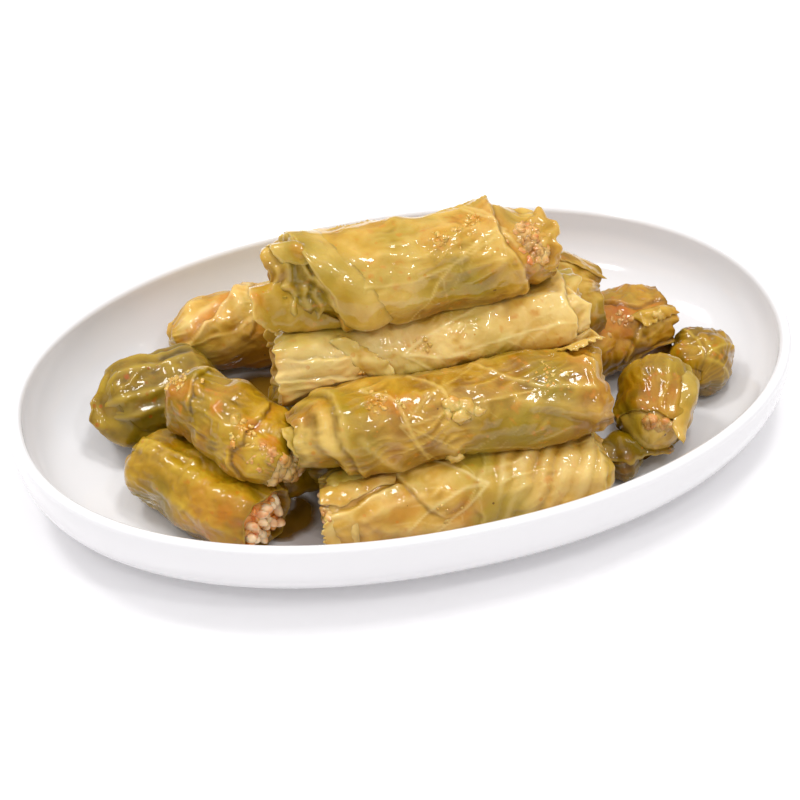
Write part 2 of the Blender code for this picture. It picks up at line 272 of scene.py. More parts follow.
def buildWetGrain():
    # unevenness of a wet boiled surface: soft ripples, small pits and where the broth lies thick
    group, start, end = newGroup("wetGrain", [("Ripple", 1.0), ("Pit", 1.0)], ["Height", "Film"])
    place = objectPlace(group)
    ripples = mathNode(group, "MULTIPLY", noiseNode(group, place, 420, 3.0, 0.8), start.outputs["Ripple"])
    pits = group.nodes.new("ShaderNodeTexVoronoi")
    pits.inputs["Scale"].default_value = 950
    group.links.new(place, pits.inputs["Vector"])
    shallow = mathNode(group, "MULTIPLY", pits.outputs["Distance"], 0.2)
    height = mathNode(group, "ADD", ripples, mathNode(group, "MULTIPLY", shallow, start.outputs["Pit"]))
    group.links.new(height, end.inputs["Height"])
    group.links.new(rangeNode(group, noiseNode(group, place, 110, 2.0), 0.38, 0.62), end.inputs["Film"])
    return group


def buildSpecks():
    # scattered round flecks: pepper, paprika and browned meat
    group, start, end = newGroup("specks", [("Scale", 180.0), ("Size", 0.1), ("Share", 0.1)],
                                 ["Mask", "Shade"])
    cells = group.nodes.new("ShaderNodeTexVoronoi")
    group.links.new(objectPlace(group), cells.inputs["Vector"])
    group.links.new(start.outputs["Scale"], cells.inputs["Scale"])
    split = group.nodes.new("ShaderNodeSeparateColor")
    group.links.new(cells.outputs["Color"], split.inputs[0])
    chosen = mathNode(group, "LESS_THAN", split.outputs[0], start.outputs["Share"])
    size = mathNode(group, "MULTIPLY", start.outputs["Size"], mathNode(group, "ADD", split.outputs[1], 0.5))
    inside = mathNode(group, "LESS_THAN", cells.outputs["Distance"], size)
    group.links.new(mathNode(group, "MULTIPLY", chosen, inside), end.inputs["Mask"])
    group.links.new(split.outputs[2], end.inputs["Shade"])
    return group


wetGrain = buildWetGrain()
speckGroup = buildSpecks()


def useGroup(tree, group, **values):
    node = tree.nodes.new("ShaderNodeGroup")
    node.node_tree = group
    for key, value in values.items():
        node.inputs[key].default_value = value
    return node


def newMaterial(name):
    material = bpy.data.materials.new(name)
    material.use_nodes = True
    tree = material.node_tree
    return material, tree, tree.nodes["Principled BSDF"]


def addBump(tree, shader, height, strength, distance, socket="Normal"):
    bump = tree.nodes.new("ShaderNodeBump")
    bump.inputs["Strength"].default_value = strength
    bump.inputs["Distance"].default_value = distance
    tree.links.new(height, bump.inputs["Height"])
    tree.links.new(bump.outputs[0], shader.inputs[socket])


leafColours = {
    "cream": {"pale": tint(232, 198, 118), "mid": tint(212, 166, 70), "deep": tint(170, 118, 26),
              "green": tint(176, 152, 48), "stain": tint(206, 130, 36), "veinAndHighlight": tint(236, 212, 142)},
    "yellow": {"pale": tint(210, 172, 84), "mid": tint(192, 148, 48), "deep": tint(144, 100, 14),
               "green": tint(150, 128, 30), "stain": tint(196, 122, 26), "veinAndHighlight": tint(218, 188, 108)},
    "olive": {"pale": tint(196, 158, 40), "mid": tint(168, 126, 12), "deep": tint(110, 80, 2),
              "green": tint(126, 106, 5), "stain": tint(190, 110, 12), "veinAndHighlight": tint(200, 168, 64)},
    "dark": {"pale": tint(170, 138, 30), "mid": tint(142, 110, 8), "deep": tint(84, 62, 1),
             "green": tint(106, 90, 3), "stain": tint(170, 76, 10), "veinAndHighlight": tint(180, 150, 56)},
    "brown": {"pale": tint(218, 172, 64), "mid": tint(190, 134, 30), "deep": tint(124, 80, 8),
              "green": tint(150, 116, 24), "stain": tint(194, 104, 24), "veinAndHighlight": tint(220, 180, 96)},
}


leafFinish = {"roughness": (0.28, 0.46), "specular": 0.25, "subsurface": 0.3,
              "subsurfaceRadius": (1.0, 0.6, 0.18), "subsurfaceScale": 0.0024, "coat": 0.9,
              "coatRoughness": 0.05, "coatIor": 1.45, "pepper": tint(84, 44, 12)}


def leafMaterial(name, colours, finish):
    # masks painted on the points: red tone with painted light and shade from the shape, green stain, blue
    # veins with painted highlights, alpha painted shade with a few dark specks
    material, tree, shader = newMaterial(name)
    masks = tree.nodes.new("ShaderNodeAttribute")
    masks.attribute_name = "leafMasks"
    split = tree.nodes.new("ShaderNodeSeparateColor")
    tree.links.new(masks.outputs["Color"], split.inputs[0])
    tone, stain, veinAndHighlight, shadeAndSpecks = split.outputs[0], split.outputs[1], split.outputs[2], masks.outputs["Alpha"]
    grain = useGroup(tree, wetGrain, Ripple=1.0, Pit=0.6)
    place = objectPlace(tree)
    patch = rangeNode(tree, noiseNode(tree, place, 120, 5.0), 0.3, 0.7, -0.22, 0.22)
    ramp = tree.nodes.new("ShaderNodeValToRGB")
    ramp.color_ramp.elements[0].color = (*colours["pale"], 1)
    ramp.color_ramp.elements[1].color = (*colours["deep"], 1)
    ramp.color_ramp.elements.new(0.45).color = (*colours["mid"], 1)
    tree.links.new(mathNode(tree, "ADD", tone, patch, True), ramp.inputs[0])
    greener = rangeNode(tree, noiseNode(tree, place, 46, 2.0), 0.46, 0.66, 0.0, 0.75)
    base = mixColour(tree, greener, ramp.outputs[0], colours["green"])
    base = mixColour(tree, mathNode(tree, "MULTIPLY", stain, 0.8, True), base, colours["stain"])
    # pale veins, and painted highlights along leaf edges, fold lips and pleat crests
    base = mixColour(tree, mathNode(tree, "MULTIPLY", veinAndHighlight, 0.8, True), base, colours["veinAndHighlight"])
    # painted shade: joins between rolls, hollows, folds, flap roots and undersides and the inside of open
    # ends are darkened towards this colour, as are a few dark specks
    dark = tuple(0.38 * c for c in colours["deep"])
    base = mixColour(tree, mathNode(tree, "MULTIPLY", shadeAndSpecks, 0.75, True), base, dark)
    dots = useGroup(tree, speckGroup, Scale=230.0, Size=0.10, Share=0.05)
    base = mixColour(tree, mathNode(tree, "MULTIPLY", dots.outputs["Mask"], 0.75), base, finish["pepper"])
    fine = useGroup(tree, speckGroup, Scale=430.0, Size=0.22, Share=0.13)
    dusty = mathNode(tree, "MULTIPLY", fine.outputs["Mask"], rangeNode(tree, patch, -0.05, 0.12, 0.15, 0.7))
    base = mixColour(tree, dusty, base, colours["stain"])
    tree.links.new(base, shader.inputs["Base Color"])
    tree.links.new(rangeNode(tree, grain.outputs["Film"], 0.0, 1.0, *finish["roughness"]),
                   shader.inputs["Roughness"])
    addBump(tree, shader, grain.outputs["Height"], 0.35, 0.0006)
    addBump(tree, shader, noiseNode(tree, place, 280, 1.0, 0.4), 0.5, 0.0003, "Coat Normal")
    shader.inputs["Specular IOR Level"].default_value = finish["specular"]
    shader.inputs["Subsurface Weight"].default_value = finish["subsurface"]
    shader.inputs["Subsurface Radius"].default_value = finish["subsurfaceRadius"]
    shader.inputs["Subsurface Scale"].default_value = finish["subsurfaceScale"]
    shader.inputs["Coat Weight"].default_value = finish["coat"]
    shader.inputs["Coat Roughness"].default_value = finish["coatRoughness"]
    shader.inputs["Coat IOR"].default_value = finish["coatIor"]
    return material


leafMaterials = {name: leafMaterial("leaf_" + name, colours, leafFinish)
                 for name, colours in leafColours.items()}


def lumpMaterial(name, colours, scale, coat):
    # cooked grains and crumbs: uneven colour inside each piece, a wet skin
    material, tree, shader = newMaterial(name)
    place = objectPlace(tree)
    tone = rangeNode(tree, noiseNode(tree, place, scale, 4.0), 0.32, 0.68)
    base = mixColour(tree, tone, colours["low"], colours["high"])
    blots = rangeNode(tree, noiseNode(tree, place, 190, 2.0), 0.52, 0.66, 0.0, 0.8)
    base = mixColour(tree, blots, base, colours["blot"])
    tree.links.new(base, shader.inputs["Base Color"])
    grain = useGroup(tree, wetGrain, Ripple=0.8, Pit=1.0)
    tree.links.new(rangeNode(tree, grain.outputs["Film"], 0.0, 1.0, 0.2, 0.4), shader.inputs["Roughness"])
    addBump(tree, shader, grain.outputs["Height"], 0.6, 0.0005)
    shader.inputs["Subsurface Weight"].default_value = 0.35
    shader.inputs["Subsurface Radius"].default_value = (1.0, 0.5, 0.25)
    shader.inputs["Subsurface Scale"].default_value = 0.0016
    shader.inputs["Coat Weight"].default_value = coat
    shader.inputs["Coat Roughness"].default_value = 0.06
    return material


meatLook = lumpMaterial("minced_filling", {"low": tint(196, 130, 58), "high": tint(230, 182, 104),
                                           "blot": tint(214, 118, 48)}, 300, 0.8)
riceLook = lumpMaterial("soaked_rice", {"low": tint(240, 190, 132), "high": tint(250, 226, 186),
                                        "blot": tint(230, 140, 72)}, 160, 0.7)
crumbLook = lumpMaterial("golden_crumbs", {"low": tint(208, 154, 58), "high": tint(232, 192, 104),
                                           "blot": tint(212, 138, 44)}, 340, 0.7)
pulpLook = lumpMaterial("soft_pulp", {"low": tint(196, 154, 60), "high": tint(216, 180, 94),
                                      "blot": tint(206, 146, 50)}, 260, 0.9)
fatLook = lumpMaterial("soft_fat", {"low": tint(206, 154, 80), "high": tint(230, 194, 124),
                                    "blot": tint(208, 138, 58)}, 220, 0.9)
sauceLook = lumpMaterial("rice_sauce", {"low": tint(232, 138, 58), "high": tint(246, 180, 98),
                                        "blot": tint(232, 108, 40)}, 240, 0.8)


brothLook = {"pale": tint(150, 112, 30), "deep": tint(112, 74, 14), "roughness": 0.06, "coat": 0.4}


def brothMaterial(look):
    # thin pools of broth: deep in the middle, clear at the rim
    material, tree, shader = newMaterial("broth")
    depth = tree.nodes.new("ShaderNodeAttribute")
    depth.attribute_name = "brothDepth"
    place = objectPlace(tree)
    base = mixColour(tree, noiseNode(tree, place, 150, 3.0), look["pale"], look["deep"])
    tree.links.new(base, shader.inputs["Base Color"])
    tree.links.new(mathNode(tree, "MULTIPLY", depth.outputs["Fac"], 0.92, True), shader.inputs["Alpha"])
    addBump(tree, shader, noiseNode(tree, place, 260, 2.0), 0.12, 0.0006)
    shader.inputs["Roughness"].default_value = look["roughness"]
    shader.inputs["Coat Weight"].default_value = look["coat"]
    return material


porcelainLook = {"low": (0.810, 0.801, 0.813), "high": (0.840, 0.831, 0.843), "roughness": (0.10, 0.16),
                 "coat": 0.5, "coatRoughness": 0.03}


def porcelainMaterial(look):
    material, tree, shader = newMaterial("porcelain")
    place = objectPlace(tree)
    base = mixColour(tree, noiseNode(tree, place, 24), look["low"], look["high"])
    tree.links.new(base, shader.inputs["Base Color"])
    tree.links.new(rangeNode(tree, noiseNode(tree, place, 90), 0.3, 0.7, *look["roughness"]),
                   shader.inputs["Roughness"])
    addBump(tree, shader, noiseNode(tree, place, 60), 0.02, 0.002)
    shader.inputs["Coat Weight"].default_value = look["coat"]
    shader.inputs["Coat Roughness"].default_value = look["coatRoughness"]
    return material


def finishPiece(name, points, faces, material):
    mesh = bpy.data.meshes.new(name)
    mesh.from_pydata((np.asarray(points) * mm).tolist(), [], faces)
    mesh.update()
    mesh.shade_smooth()
    mesh.materials.append(material)
    piece = bpy.data.objects.new(name, mesh)
    bpy.context.scene.collection.objects.link(piece)
    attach(piece, "root")
    return piece


def paintMasks(piece, masks):
    layer = piece.data.color_attributes.new("leafMasks", "FLOAT_COLOR", "POINT")
    layer.data.foreach_set("color", np.clip(masks, 0, 1).astype(np.float32).ravel())


# the platter, with the CAD dish's own sizes and a finer mesh
platterSizes = {"halfLength": 125.0, "halfWidth": 77.8, "height": 30.0, "outlinePower": 2.12, "rimWidth": 4.0,
                "rimRound": 2.0, "floorTop": 5.0, "wallReach": 30.0, "innerPower": 2.3, "outerPower": 2.6,
                "footInset": 30.5, "footWidth": 4.0, "underside": 1.3, "blendStart": 0.45,
                "blendLength": 0.25, "steps": 220}


def wallCurve(inset, top, reach, drop, power, steps):
    angles = np.linspace(0, math.pi / 2, steps + 1)
    return [(inset - reach * max(math.cos(a), 0) ** (2 / power), top - drop * math.sin(a) ** (2 / power))
            for a in angles]


def platterProfile(s):
    # inset from the outline and height, from the middle of the floor over the rim to the underside
    rimBase = s["height"] - s["rimRound"]
    profile = [(s["halfLength"] * (1 - k / 6), s["floorTop"]) for k in range(1, 5)]
    inner = wallCurve(s["rimWidth"] + s["wallReach"], rimBase, s["wallReach"], rimBase - s["floorTop"],
                      s["innerPower"], 26)
    profile += inner[::-1]
    for k in range(1, 12):
        a = math.pi * k / 12
        profile.append((s["rimWidth"] / 2 * (1 + math.cos(a)), rimBase + s["rimRound"] * math.sin(a)))
    profile += wallCurve(s["footInset"], rimBase, s["footInset"], rimBase - s["underside"],
                         s["outerPower"], 20)
    foot = s["footInset"] + s["footWidth"]
    profile += [(s["footInset"] + 0.3, 0.3), (s["footInset"] + 0.8, 0.0), (foot - 0.3, 0.0),
                (foot + 0.2, 0.4), (foot + 0.8, s["underside"])]
    profile += [(s["halfLength"] * k / 6, s["underside"]) for k in range(3, 6)]
    return profile


def makePlatter(s):
    ratio = s["halfWidth"] / s["halfLength"]
    turn = np.linspace(0, 2 * math.pi, s["steps"], endpoint=False)
    power = 2 / s["outlinePower"]
    cosPart = np.sign(np.cos(turn)) * np.abs(np.cos(turn)) ** power
    sinPart = np.sign(np.sin(turn)) * np.abs(np.sin(turn)) ** power
    rings = []
    for inset, height in platterProfile(s):
        radius = s["halfLength"] - inset
        blend = smoothStep((radius / s["halfLength"] - s["blendStart"]) / s["blendLength"])
        short = radius * ratio + (radius - s["halfLength"]) * (1 - ratio) * blend
        rings.append(np.stack([radius * cosPart, short * sinPart, np.full(len(turn), height)], 1))
    count = len(turn)
    points = [(0, 0, s["floorTop"])] + [tuple(p) for ring in rings for p in ring] + [(0, 0, s["underside"])]
    faces = []
    last = 1 + (len(rings) - 1) * count
    for i in range(count):
        j = (i + 1) % count
        faces.append((0, 1 + i, 1 + j))
        for k in range(len(rings) - 1):
            a = 1 + k * count
            faces.append((a + i, a + count + i, a + count + j, a + j))
        faces.append((last + i, len(points) - 1, last + j))
    piece = finishPiece("platter_glazed", points, faces, porcelainMaterial(porcelainLook))
    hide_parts("platter")


makePlatter(platterSizes)
print("platter made")


# the relief of one roll's side, in millimetres over the CAD skin, with the four masks
def veinLines(roll, meanRadius):
    # fans of veins with side branches, in millimetres along and round the roll
    draw = np.random.default_rng(roll["seed"])
    segments = []
    for fan in roll.get("veins", []):
        for k in range(fan["count"]):
            spread = (k / max(fan["count"] - 1, 1) - 0.5) * math.radians(fan["spread"])
            heading = math.radians(fan["heading"]) + spread + draw.normal(0, 0.05)
            u, v = fan["root"][0], math.radians(fan["root"][1]) * meanRadius
            width = fan["width"]
            for n in range(fan["steps"]):
                heading += draw.normal(0, 0.10)
                nextU, nextV = u + 3.5 * math.cos(heading), v + 3.5 * math.sin(heading)
                segments.append((u, v, nextU, nextV, width, 1.0))
                u, v = nextU, nextV
                width *= 0.95
                if n % 2:
                    continue
                turn = heading + draw.choice([-1, 1]) * draw.uniform(0.6, 0.95)
                sideU, sideV = u, v
                for m in range(draw.integers(3, 6)):
                    farU, farV = sideU + 2.6 * math.cos(turn), sideV + 2.6 * math.sin(turn)
                    segments.append((sideU, sideV, farU, farV, width * 0.6, 0.55 - 0.08 * m))
                    sideU, sideV = farU, farV
                    turn += draw.normal(0, 0.18)
    return segments


def veinField(segments, u, v, around):
    field = np.zeros_like(u)
    for u0, v0, u1, v1, width, strength in segments:
        du, dv = u1 - u0, v1 - v0
        pu = u - u0
        pv = (v - v0 + around / 2) % around - around / 2
        t = np.clip((pu * du + pv * dv) / (du * du + dv * dv), 0, 1)
        field = np.maximum(field, strength * bell(np.hypot(pu - t * du, pv - t * dv), width))
    return field


puckerRun = 12  # how far the puckers of a tucked end run back along the side
layerSpacing = 2.6  # between the leaf layers seen in an open end
spiralPitch = 1.8
endRows = 20  # rings of points from a roll's rim to the middle of its end
roomMargin = 0.25  # kept between the skin and its neighbours


class Relief:
    def __init__(self, roll, u, angle, points, meanRadius):
        self.u, self.angle, self.points = u, angle, points
        self.radius = meanRadius
        self.v = angle * meanRadius
        self.around = 2 * math.pi * meanRadius
        self.seed = roll["seed"]
        self.height = np.zeros_like(u)
        self.tone = np.full_like(u, roll.get("tone", 0.4))
        self.stain = np.full_like(u, roll.get("stain", 0.0))
        # blue mask: pale veins and painted highlights; alpha mask: painted shade and dark specks
        self.veinAndHighlight = np.zeros_like(u)
        self.shadeAndSpecks = np.zeros_like(u)

    def noise(self, size, shift):
        return softNoise(self.points, size, self.seed + shift)

    def line(self, path):
        p = smoothPath([(a, math.radians(b) * self.radius) for a, b in path], 10 * len(path))
        return pathDistance(p, self.u, self.v, self.around)

    def ground(self, roll):
        # soft lumps of the filling under the leaf, folds along the roll, and small wet ripples
        swell = roll.get("swell", 0.8)
        self.height += swell * self.noise(14, 0) + 0.55 * swell * self.noise(7, 1)
        patchy = smoothStep(self.noise(12, 20) * 1.2 + 0.45)
        bumps = np.abs(self.noise(4.6, 2))
        self.height += roll.get("bumpy", 0.6) * patchy * (bumps - 0.3)
        slant = roll.get("slant", 0.25)
        warp = 2.2 * self.noise(11, 23)
        flow = self.v + slant * self.u + warp
        drawn = np.stack([self.u / 2.4, flow, np.full_like(self.u, self.seed * 7.0)], -1)
        wrinkles = np.abs(softNoise(drawn, 2.3, self.seed + 24))
        calm = smoothStep(self.noise(10, 22) * 1.6 + 0.3)
        self.height += roll.get("wrinkle", 0.38) * calm * (0.3 - wrinkles)
        self.height += roll.get("ripple", 0.05) * self.noise(1.7, 21)
        drawn = np.stack([self.u / 6.5, flow, np.full_like(self.u, self.seed * 9.0)], -1)
        folds = creaseNoise(drawn, 4.6, self.seed + 3) ** 3
        where = smoothStep(self.noise(15, 4) + 0.35)
        self.height += roll.get("folds", 0.5) * (folds - 0.2) * where
        self.veinAndHighlight = np.maximum(self.veinAndHighlight, 0.22 * folds * where)
        # tone differs at random, and also follows the wrinkles as painted light and shade: paler on their
        # ridges, deeper in their hollows
        self.tone += 0.30 * self.noise(17, 5) + 0.16 * self.noise(5, 6) + 0.5 * calm * (wrinkles - 0.35)
        stained = smoothStep(self.noise(8, 7) * 1.7 - roll.get("clean", 0.55))
        grains = smoothStep(self.noise(1.8, 25) * 2.6 - 0.9)
        self.stain += 0.3 * stained + 0.75 * grains * smoothStep(self.noise(9, 26) * 1.6 + 0.3)

    def addVeins(self, roll):
        veins = veinField(veinLines(roll, self.radius), self.u, self.v, self.around)
        self.height += roll.get("veinHeight", 0.22) * veins
        self.veinAndHighlight = np.maximum(self.veinAndHighlight, veins * roll.get("veinPale", 0.8))

    def addPleats(self, pleat):
        turn = wrapAngle(self.angle - math.radians(pleat["middle"]))
        phase = (self.u + pleat.get("slant", 0) * turn + 1.4 * self.noise(9, 8)) / pleat["spacing"]
        wave = np.abs(np.sin(math.pi * phase)) ** pleat.get("sharp", 0.7)
        window = smoothStep((self.u - pleat["from"]) / 3) * smoothStep((pleat["to"] - self.u) / 3)
        window = window * smoothStep((math.radians(pleat["reach"]) - np.abs(turn)) / 0.4)
        self.height += window * pleat["depth"] * (wave - 0.7)
        # painted shade in the pleats' valleys and a painted highlight on their crests
        self.shadeAndSpecks = np.maximum(self.shadeAndSpecks, pleat.get("dark", 0.5) * window * bell(wave, 0.25))
        self.veinAndHighlight = np.maximum(self.veinAndHighlight, window * pleat.get("pale", 0.4) * smoothStep(wave * 4 - 3))
        self.tone += window * pleat.get("tone", 0.0)

    def addEdge(self, edge):
        # a leaf's edge: a step with a rolled lip, a painted shadow line below it and a painted highlight
        # along its rim
        gap, sign, past = self.line(edge["path"])
        wander = 1.5 * edge.get("wave", 0.5) * self.noise(5.5, 9) + 0.35 * self.noise(1.9, 32)
        wander = wander + edge.get("teeth", 0.0) * np.abs(self.noise(3.4, 31))
        distance = gap * sign * edge["side"] + wander
        window = smoothStep(1 - past / 3.0) * (0.75 + 0.5 * self.noise(6, 34))
        over = smoothStep(distance / 0.7 + 0.5)
        fall = np.exp(-np.maximum(distance, 0) / edge.get("fade", 20))
        lift = 0.85 * edge.get("lift", 1.0)
        shape = lift * (over * fall + 0.25 * bell(distance - 0.8, 0.8) - 0.3 * bell(distance + 0.8, 0.8))
        recess = edge.get("recess", 0.0) * smoothStep(-distance / 1.2)
        recess = recess * smoothStep((edge.get("width", 30) + distance) / 4)
        self.height += window * (shape - recess)
        self.veinAndHighlight = np.maximum(self.veinAndHighlight, 0.7 * window * edge.get("pale", 0.5) * bell(distance - 0.4, 0.45))
        self.shadeAndSpecks = np.maximum(self.shadeAndSpecks, window * edge.get("dark", 0.8) * bell(distance + 0.6, 0.45))
        self.tone += window * edge.get("tone", 0.0) * smoothStep(-distance / 1.0)
        self.stain += window * edge.get("stain", 0.0) * bell(distance + 1.8, 2.6)

    def addRidge(self, ridge):
        gap, _, past = self.line(ridge["path"])
        gap = np.maximum(gap + 0.25 * ridge["width"] * self.noise(4, 33), 0)
        shape = smoothStep(1 - past / 4.0) * bell(gap, ridge["width"])
        self.height += ridge["height"] * shape
        # pale veins along the ridges; on some ridges the pale mark is a painted highlight on the crest
        self.veinAndHighlight = np.maximum(self.veinAndHighlight, ridge.get("pale", 0.0) * shape)
        self.tone += ridge.get("tone", 0.0) * shape
        self.stain += ridge.get("stain", 0.0) * shape
        self.shadeAndSpecks = np.maximum(self.shadeAndSpecks, ridge.get("dark", 0.0) * shape)

    def addBulge(self, bulge):
        u0, turn, sizeU, sizeV, amount = bulge
        gap = np.hypot((self.u - u0) / sizeU,
                       wrapAngle(self.angle - math.radians(turn)) * self.radius / sizeV)
        self.height += amount * np.exp(-gap ** 2)

    def addSpot(self, spot):
        u0, turn, size, kind, amount = spot
        gap = np.hypot(self.u - u0, wrapAngle(self.angle - math.radians(turn)) * self.radius)
        shape = smoothStep(1.4 - gap / size + 0.5 * softNoise(self.points, size * 0.6, self.seed + 9))
        if kind == "stain":
            self.stain += amount * shape
        elif kind == "tone":
            self.tone += amount * shape
        elif kind == "pale":
            self.veinAndHighlight = np.maximum(self.veinAndHighlight, amount * shape)
        else:
            self.shadeAndSpecks = np.maximum(self.shadeAndSpecks, amount * shape)

    def addAll(self, roll):
        self.ground(roll)
        self.addVeins(roll)
        parts = {"pleats": self.addPleats, "bulges": self.addBulge, "ridges": self.addRidge,
                 "edges": self.addEdge, "spots": self.addSpot}
        for key, add in parts.items():
            for item in roll.get(key, []):
                add(item)

    def addOpenEnd(self, style, near):
        # an open end flares or tapers, and its edge is frilled
        self.height += style.get("flare", 0.0) * smoothStep(1 - near / 8)
        self.height -= style.get("taper", 1.7) * np.clip(1 - near / 6.5, 0, 1) ** 2
        self.height += style.get("frill", 1.1) * self.noise(5, 14) * smoothStep(1 - near / 10)

    def addTucks(self, style, near, shift):
        # puckers that run back along the side from a tucked end, with painted shade in their folds
        fold = np.abs(np.sin(self.angle * style.get("puckers", 5) / 2 + 1.7 + self.seed + shift)) ** 0.6
        fade = smoothStep(1 - near / puckerRun)
        self.height += fade * style.get("depth", 1.2) * (fold - 0.75)
        self.shadeAndSpecks = np.maximum(self.shadeAndSpecks, 0.6 * fade * bell(fold, 0.25))

    def shadeByShape(self, room):
        # painted light and shade: crests are paler as painted highlight, hollows and the lines where rolls
        # touch are deeper as painted shade
        soft = blurAlong(blurRound(self.height, 14), 14)
        rise = self.height - soft
        self.tone -= 0.55 * np.clip(rise, -0.6, 0.6)
        self.tone += 0.30 * smoothStep(1 - room / 3.5)
        self.shadeAndSpecks = np.maximum(self.shadeAndSpecks, 0.45 * smoothStep(1 - room / 1.2))
        # painted shade: the lower side of each roll is deeper, where less light falls
        self.tone += 0.75 * smoothStep((0.45 - np.sin(self.angle)) / 1.2)

    def masks(self):
        return np.stack([self.tone, self.stain, self.veinAndHighlight, self.shadeAndSpecks], -1)


def endFace(style, share, angle, radius, seed, points):
    # axial height of the end face in millimetres: share runs from 1 at the rim to 0 at the middle
    height = np.zeros_like(angle)
    shadeAndSpecks = np.zeros_like(angle)
    veinAndHighlight = np.zeros_like(angle)
    stain = np.zeros_like(angle)
    reach = share * radius
    if style["kind"] == "tucked":
        height = height + style.get("dome", 1.8) * (1 - share ** 2)
        fold = np.abs(np.sin(angle * style.get("puckers", 5) / 2 + 1.7 * share + seed)) ** 0.6
        window = smoothStep(share * 2.4) * smoothStep((1.25 - share) * 4)
        height += style.get("depth", 1.2) * (fold - 0.6) * window
        # painted shade in the puckers' folds
        shadeAndSpecks = np.maximum(shadeAndSpecks, 0.7 * bell(fold, 0.25) * smoothStep(share * 2))
        for turn, offset, lift in style.get("folds", []):
            gap = reach * np.cos(angle - math.radians(turn)) - offset + 0.9 * softNoise(points, 3.5, seed + 2)
            lip = 0.5 * bell(gap - 0.8, 1.0) - 0.5 * bell(gap + 0.8, 0.8)
            height += lift * (smoothStep(gap / 0.8 + 0.5) + lip)
            # a painted shadow line under each fold's lip and a painted highlight on the lip
            shadeAndSpecks = np.maximum(shadeAndSpecks, 0.9 * bell(gap + 0.6, 0.6))
            veinAndHighlight = np.maximum(veinAndHighlight, 0.6 * bell(gap - 0.5, 0.6))
        height += 0.4 * softNoise(points, 3.0, seed + 3)
        return height, stain, veinAndHighlight, shadeAndSpecks
    wall = style.get("wall", 1.1)
    hollow = style.get("hollow", 4.0)
    inner = radius - reach
    height -= hollow * smoothStep((inner - wall * 0.6) / (wall * 0.9))
    for k in range(style.get("layers", 1)):
        circle = np.stack([np.cos(angle) * 6, np.sin(angle) * 6, np.full_like(angle, k * 5.0)], -1)
        spiral = spiralPitch * ((angle / (2 * math.pi) + 0.21 * seed) % 1.0)
        gap = inner - wall - layerSpacing * (k + 0.55) - spiral - softNoise(circle, 6.5, seed + k)
        ridge = bell(gap, 0.62)
        height += hollow * (0.85 - 0.16 * k) * ridge
        # a painted highlight on each layer's rim and painted shade between the layers
        veinAndHighlight = np.maximum(veinAndHighlight, 0.5 * ridge)
        shadeAndSpecks = np.maximum(shadeAndSpecks, 0.6 * bell(np.abs(gap) - 1.3, 0.45))
    height += 0.5 * softNoise(points, 2.4, seed + 5) * smoothStep((inner - wall) / 1.5)
    # painted shade deep inside the open end
    deep = smoothStep((inner - wall) / 1.0)
    shadeAndSpecks = np.maximum(shadeAndSpecks, 0.5 * deep * (1 - 0.6 * smoothStep(veinAndHighlight * 2)))
    veinAndHighlight = np.maximum(veinAndHighlight, 0.4 * smoothStep(1 - inner / wall))
    return height, 0.4 * deep, veinAndHighlight, shadeAndSpecks


def raggedRim(style, angle, seed):
    # how far the rim stands out along the axis
    circle = np.stack([np.cos(angle) * 10, np.sin(angle) * 10, np.full_like(angle, 3.0)], -1)
    rough = style.get("wave", 2.0) * softNoise(circle, 7.0, seed + 11)
    rough = rough + style.get("teeth", 0.8) * np.abs(softNoise(circle, 3.6, seed + 12))
    rough = rough + 0.25 * softNoise(circle, 1.6, seed + 13)
    for turn, width, amount in style.get("lobes", []):
        rough = rough + amount * bell(wrapAngle(angle - math.radians(turn)), math.radians(width))
    return rough + style.get("reach", 0.0)


def tubeFaces(ringCount, columns):
    # a closed skin: a pole, rings of points and a second pole
    first = np.arange(columns)
    second = (first + 1) % columns
    faces = [(0, 1 + b, 1 + a) for a, b in zip(first.tolist(), second.tolist())]
    for i in range(ringCount - 1):
        low = 1 + i * columns
        high = low + columns
        faces += list(zip((low + first).tolist(), (low + second).tolist(),
                          (high + second).tolist(), (high + first).tolist()))
    last = 1 + (ringCount - 1) * columns
    pole = last + columns
    faces += [(last + a, last + b, pole) for a, b in zip(first.tolist(), second.tolist())]
    return faces


def closeEnd(roll, end, turn, ray, skin, shift, tone):
    # rings of points and masks from the rim of one end to its middle; the last four are the rim's own
    left, along, _, _, length = rollAxes(roll)
    style = roll["ends"][end]
    outward = 1 if end else -1
    hub = left + along * (length if end else 0)
    rings, masks = [], []
    for k in range(endRows):
        share = 1 - ((k + 1) / (endRows + 0.5)) ** 1.35
        flat = hub + ray * (skin * share)[:, None]
        tall, stained, veined, creased = endFace(style, share, turn, skin, roll["seed"] + end * 5, flat)
        axial = tall + shift * outward * smoothStep((share - 0.35) / 0.65)
        if style["kind"] != "tucked":
            axial = axial + 0.35 * bell(skin * (1 - share) - 0.4, 0.35)
        rings.append(flat + along * (outward * axial)[:, None])
        masks.append(np.stack([tone + style.get("tone", 0.1), stained + style.get("stain", 0.0),
                               veined, creased], -1))
    return rings, masks


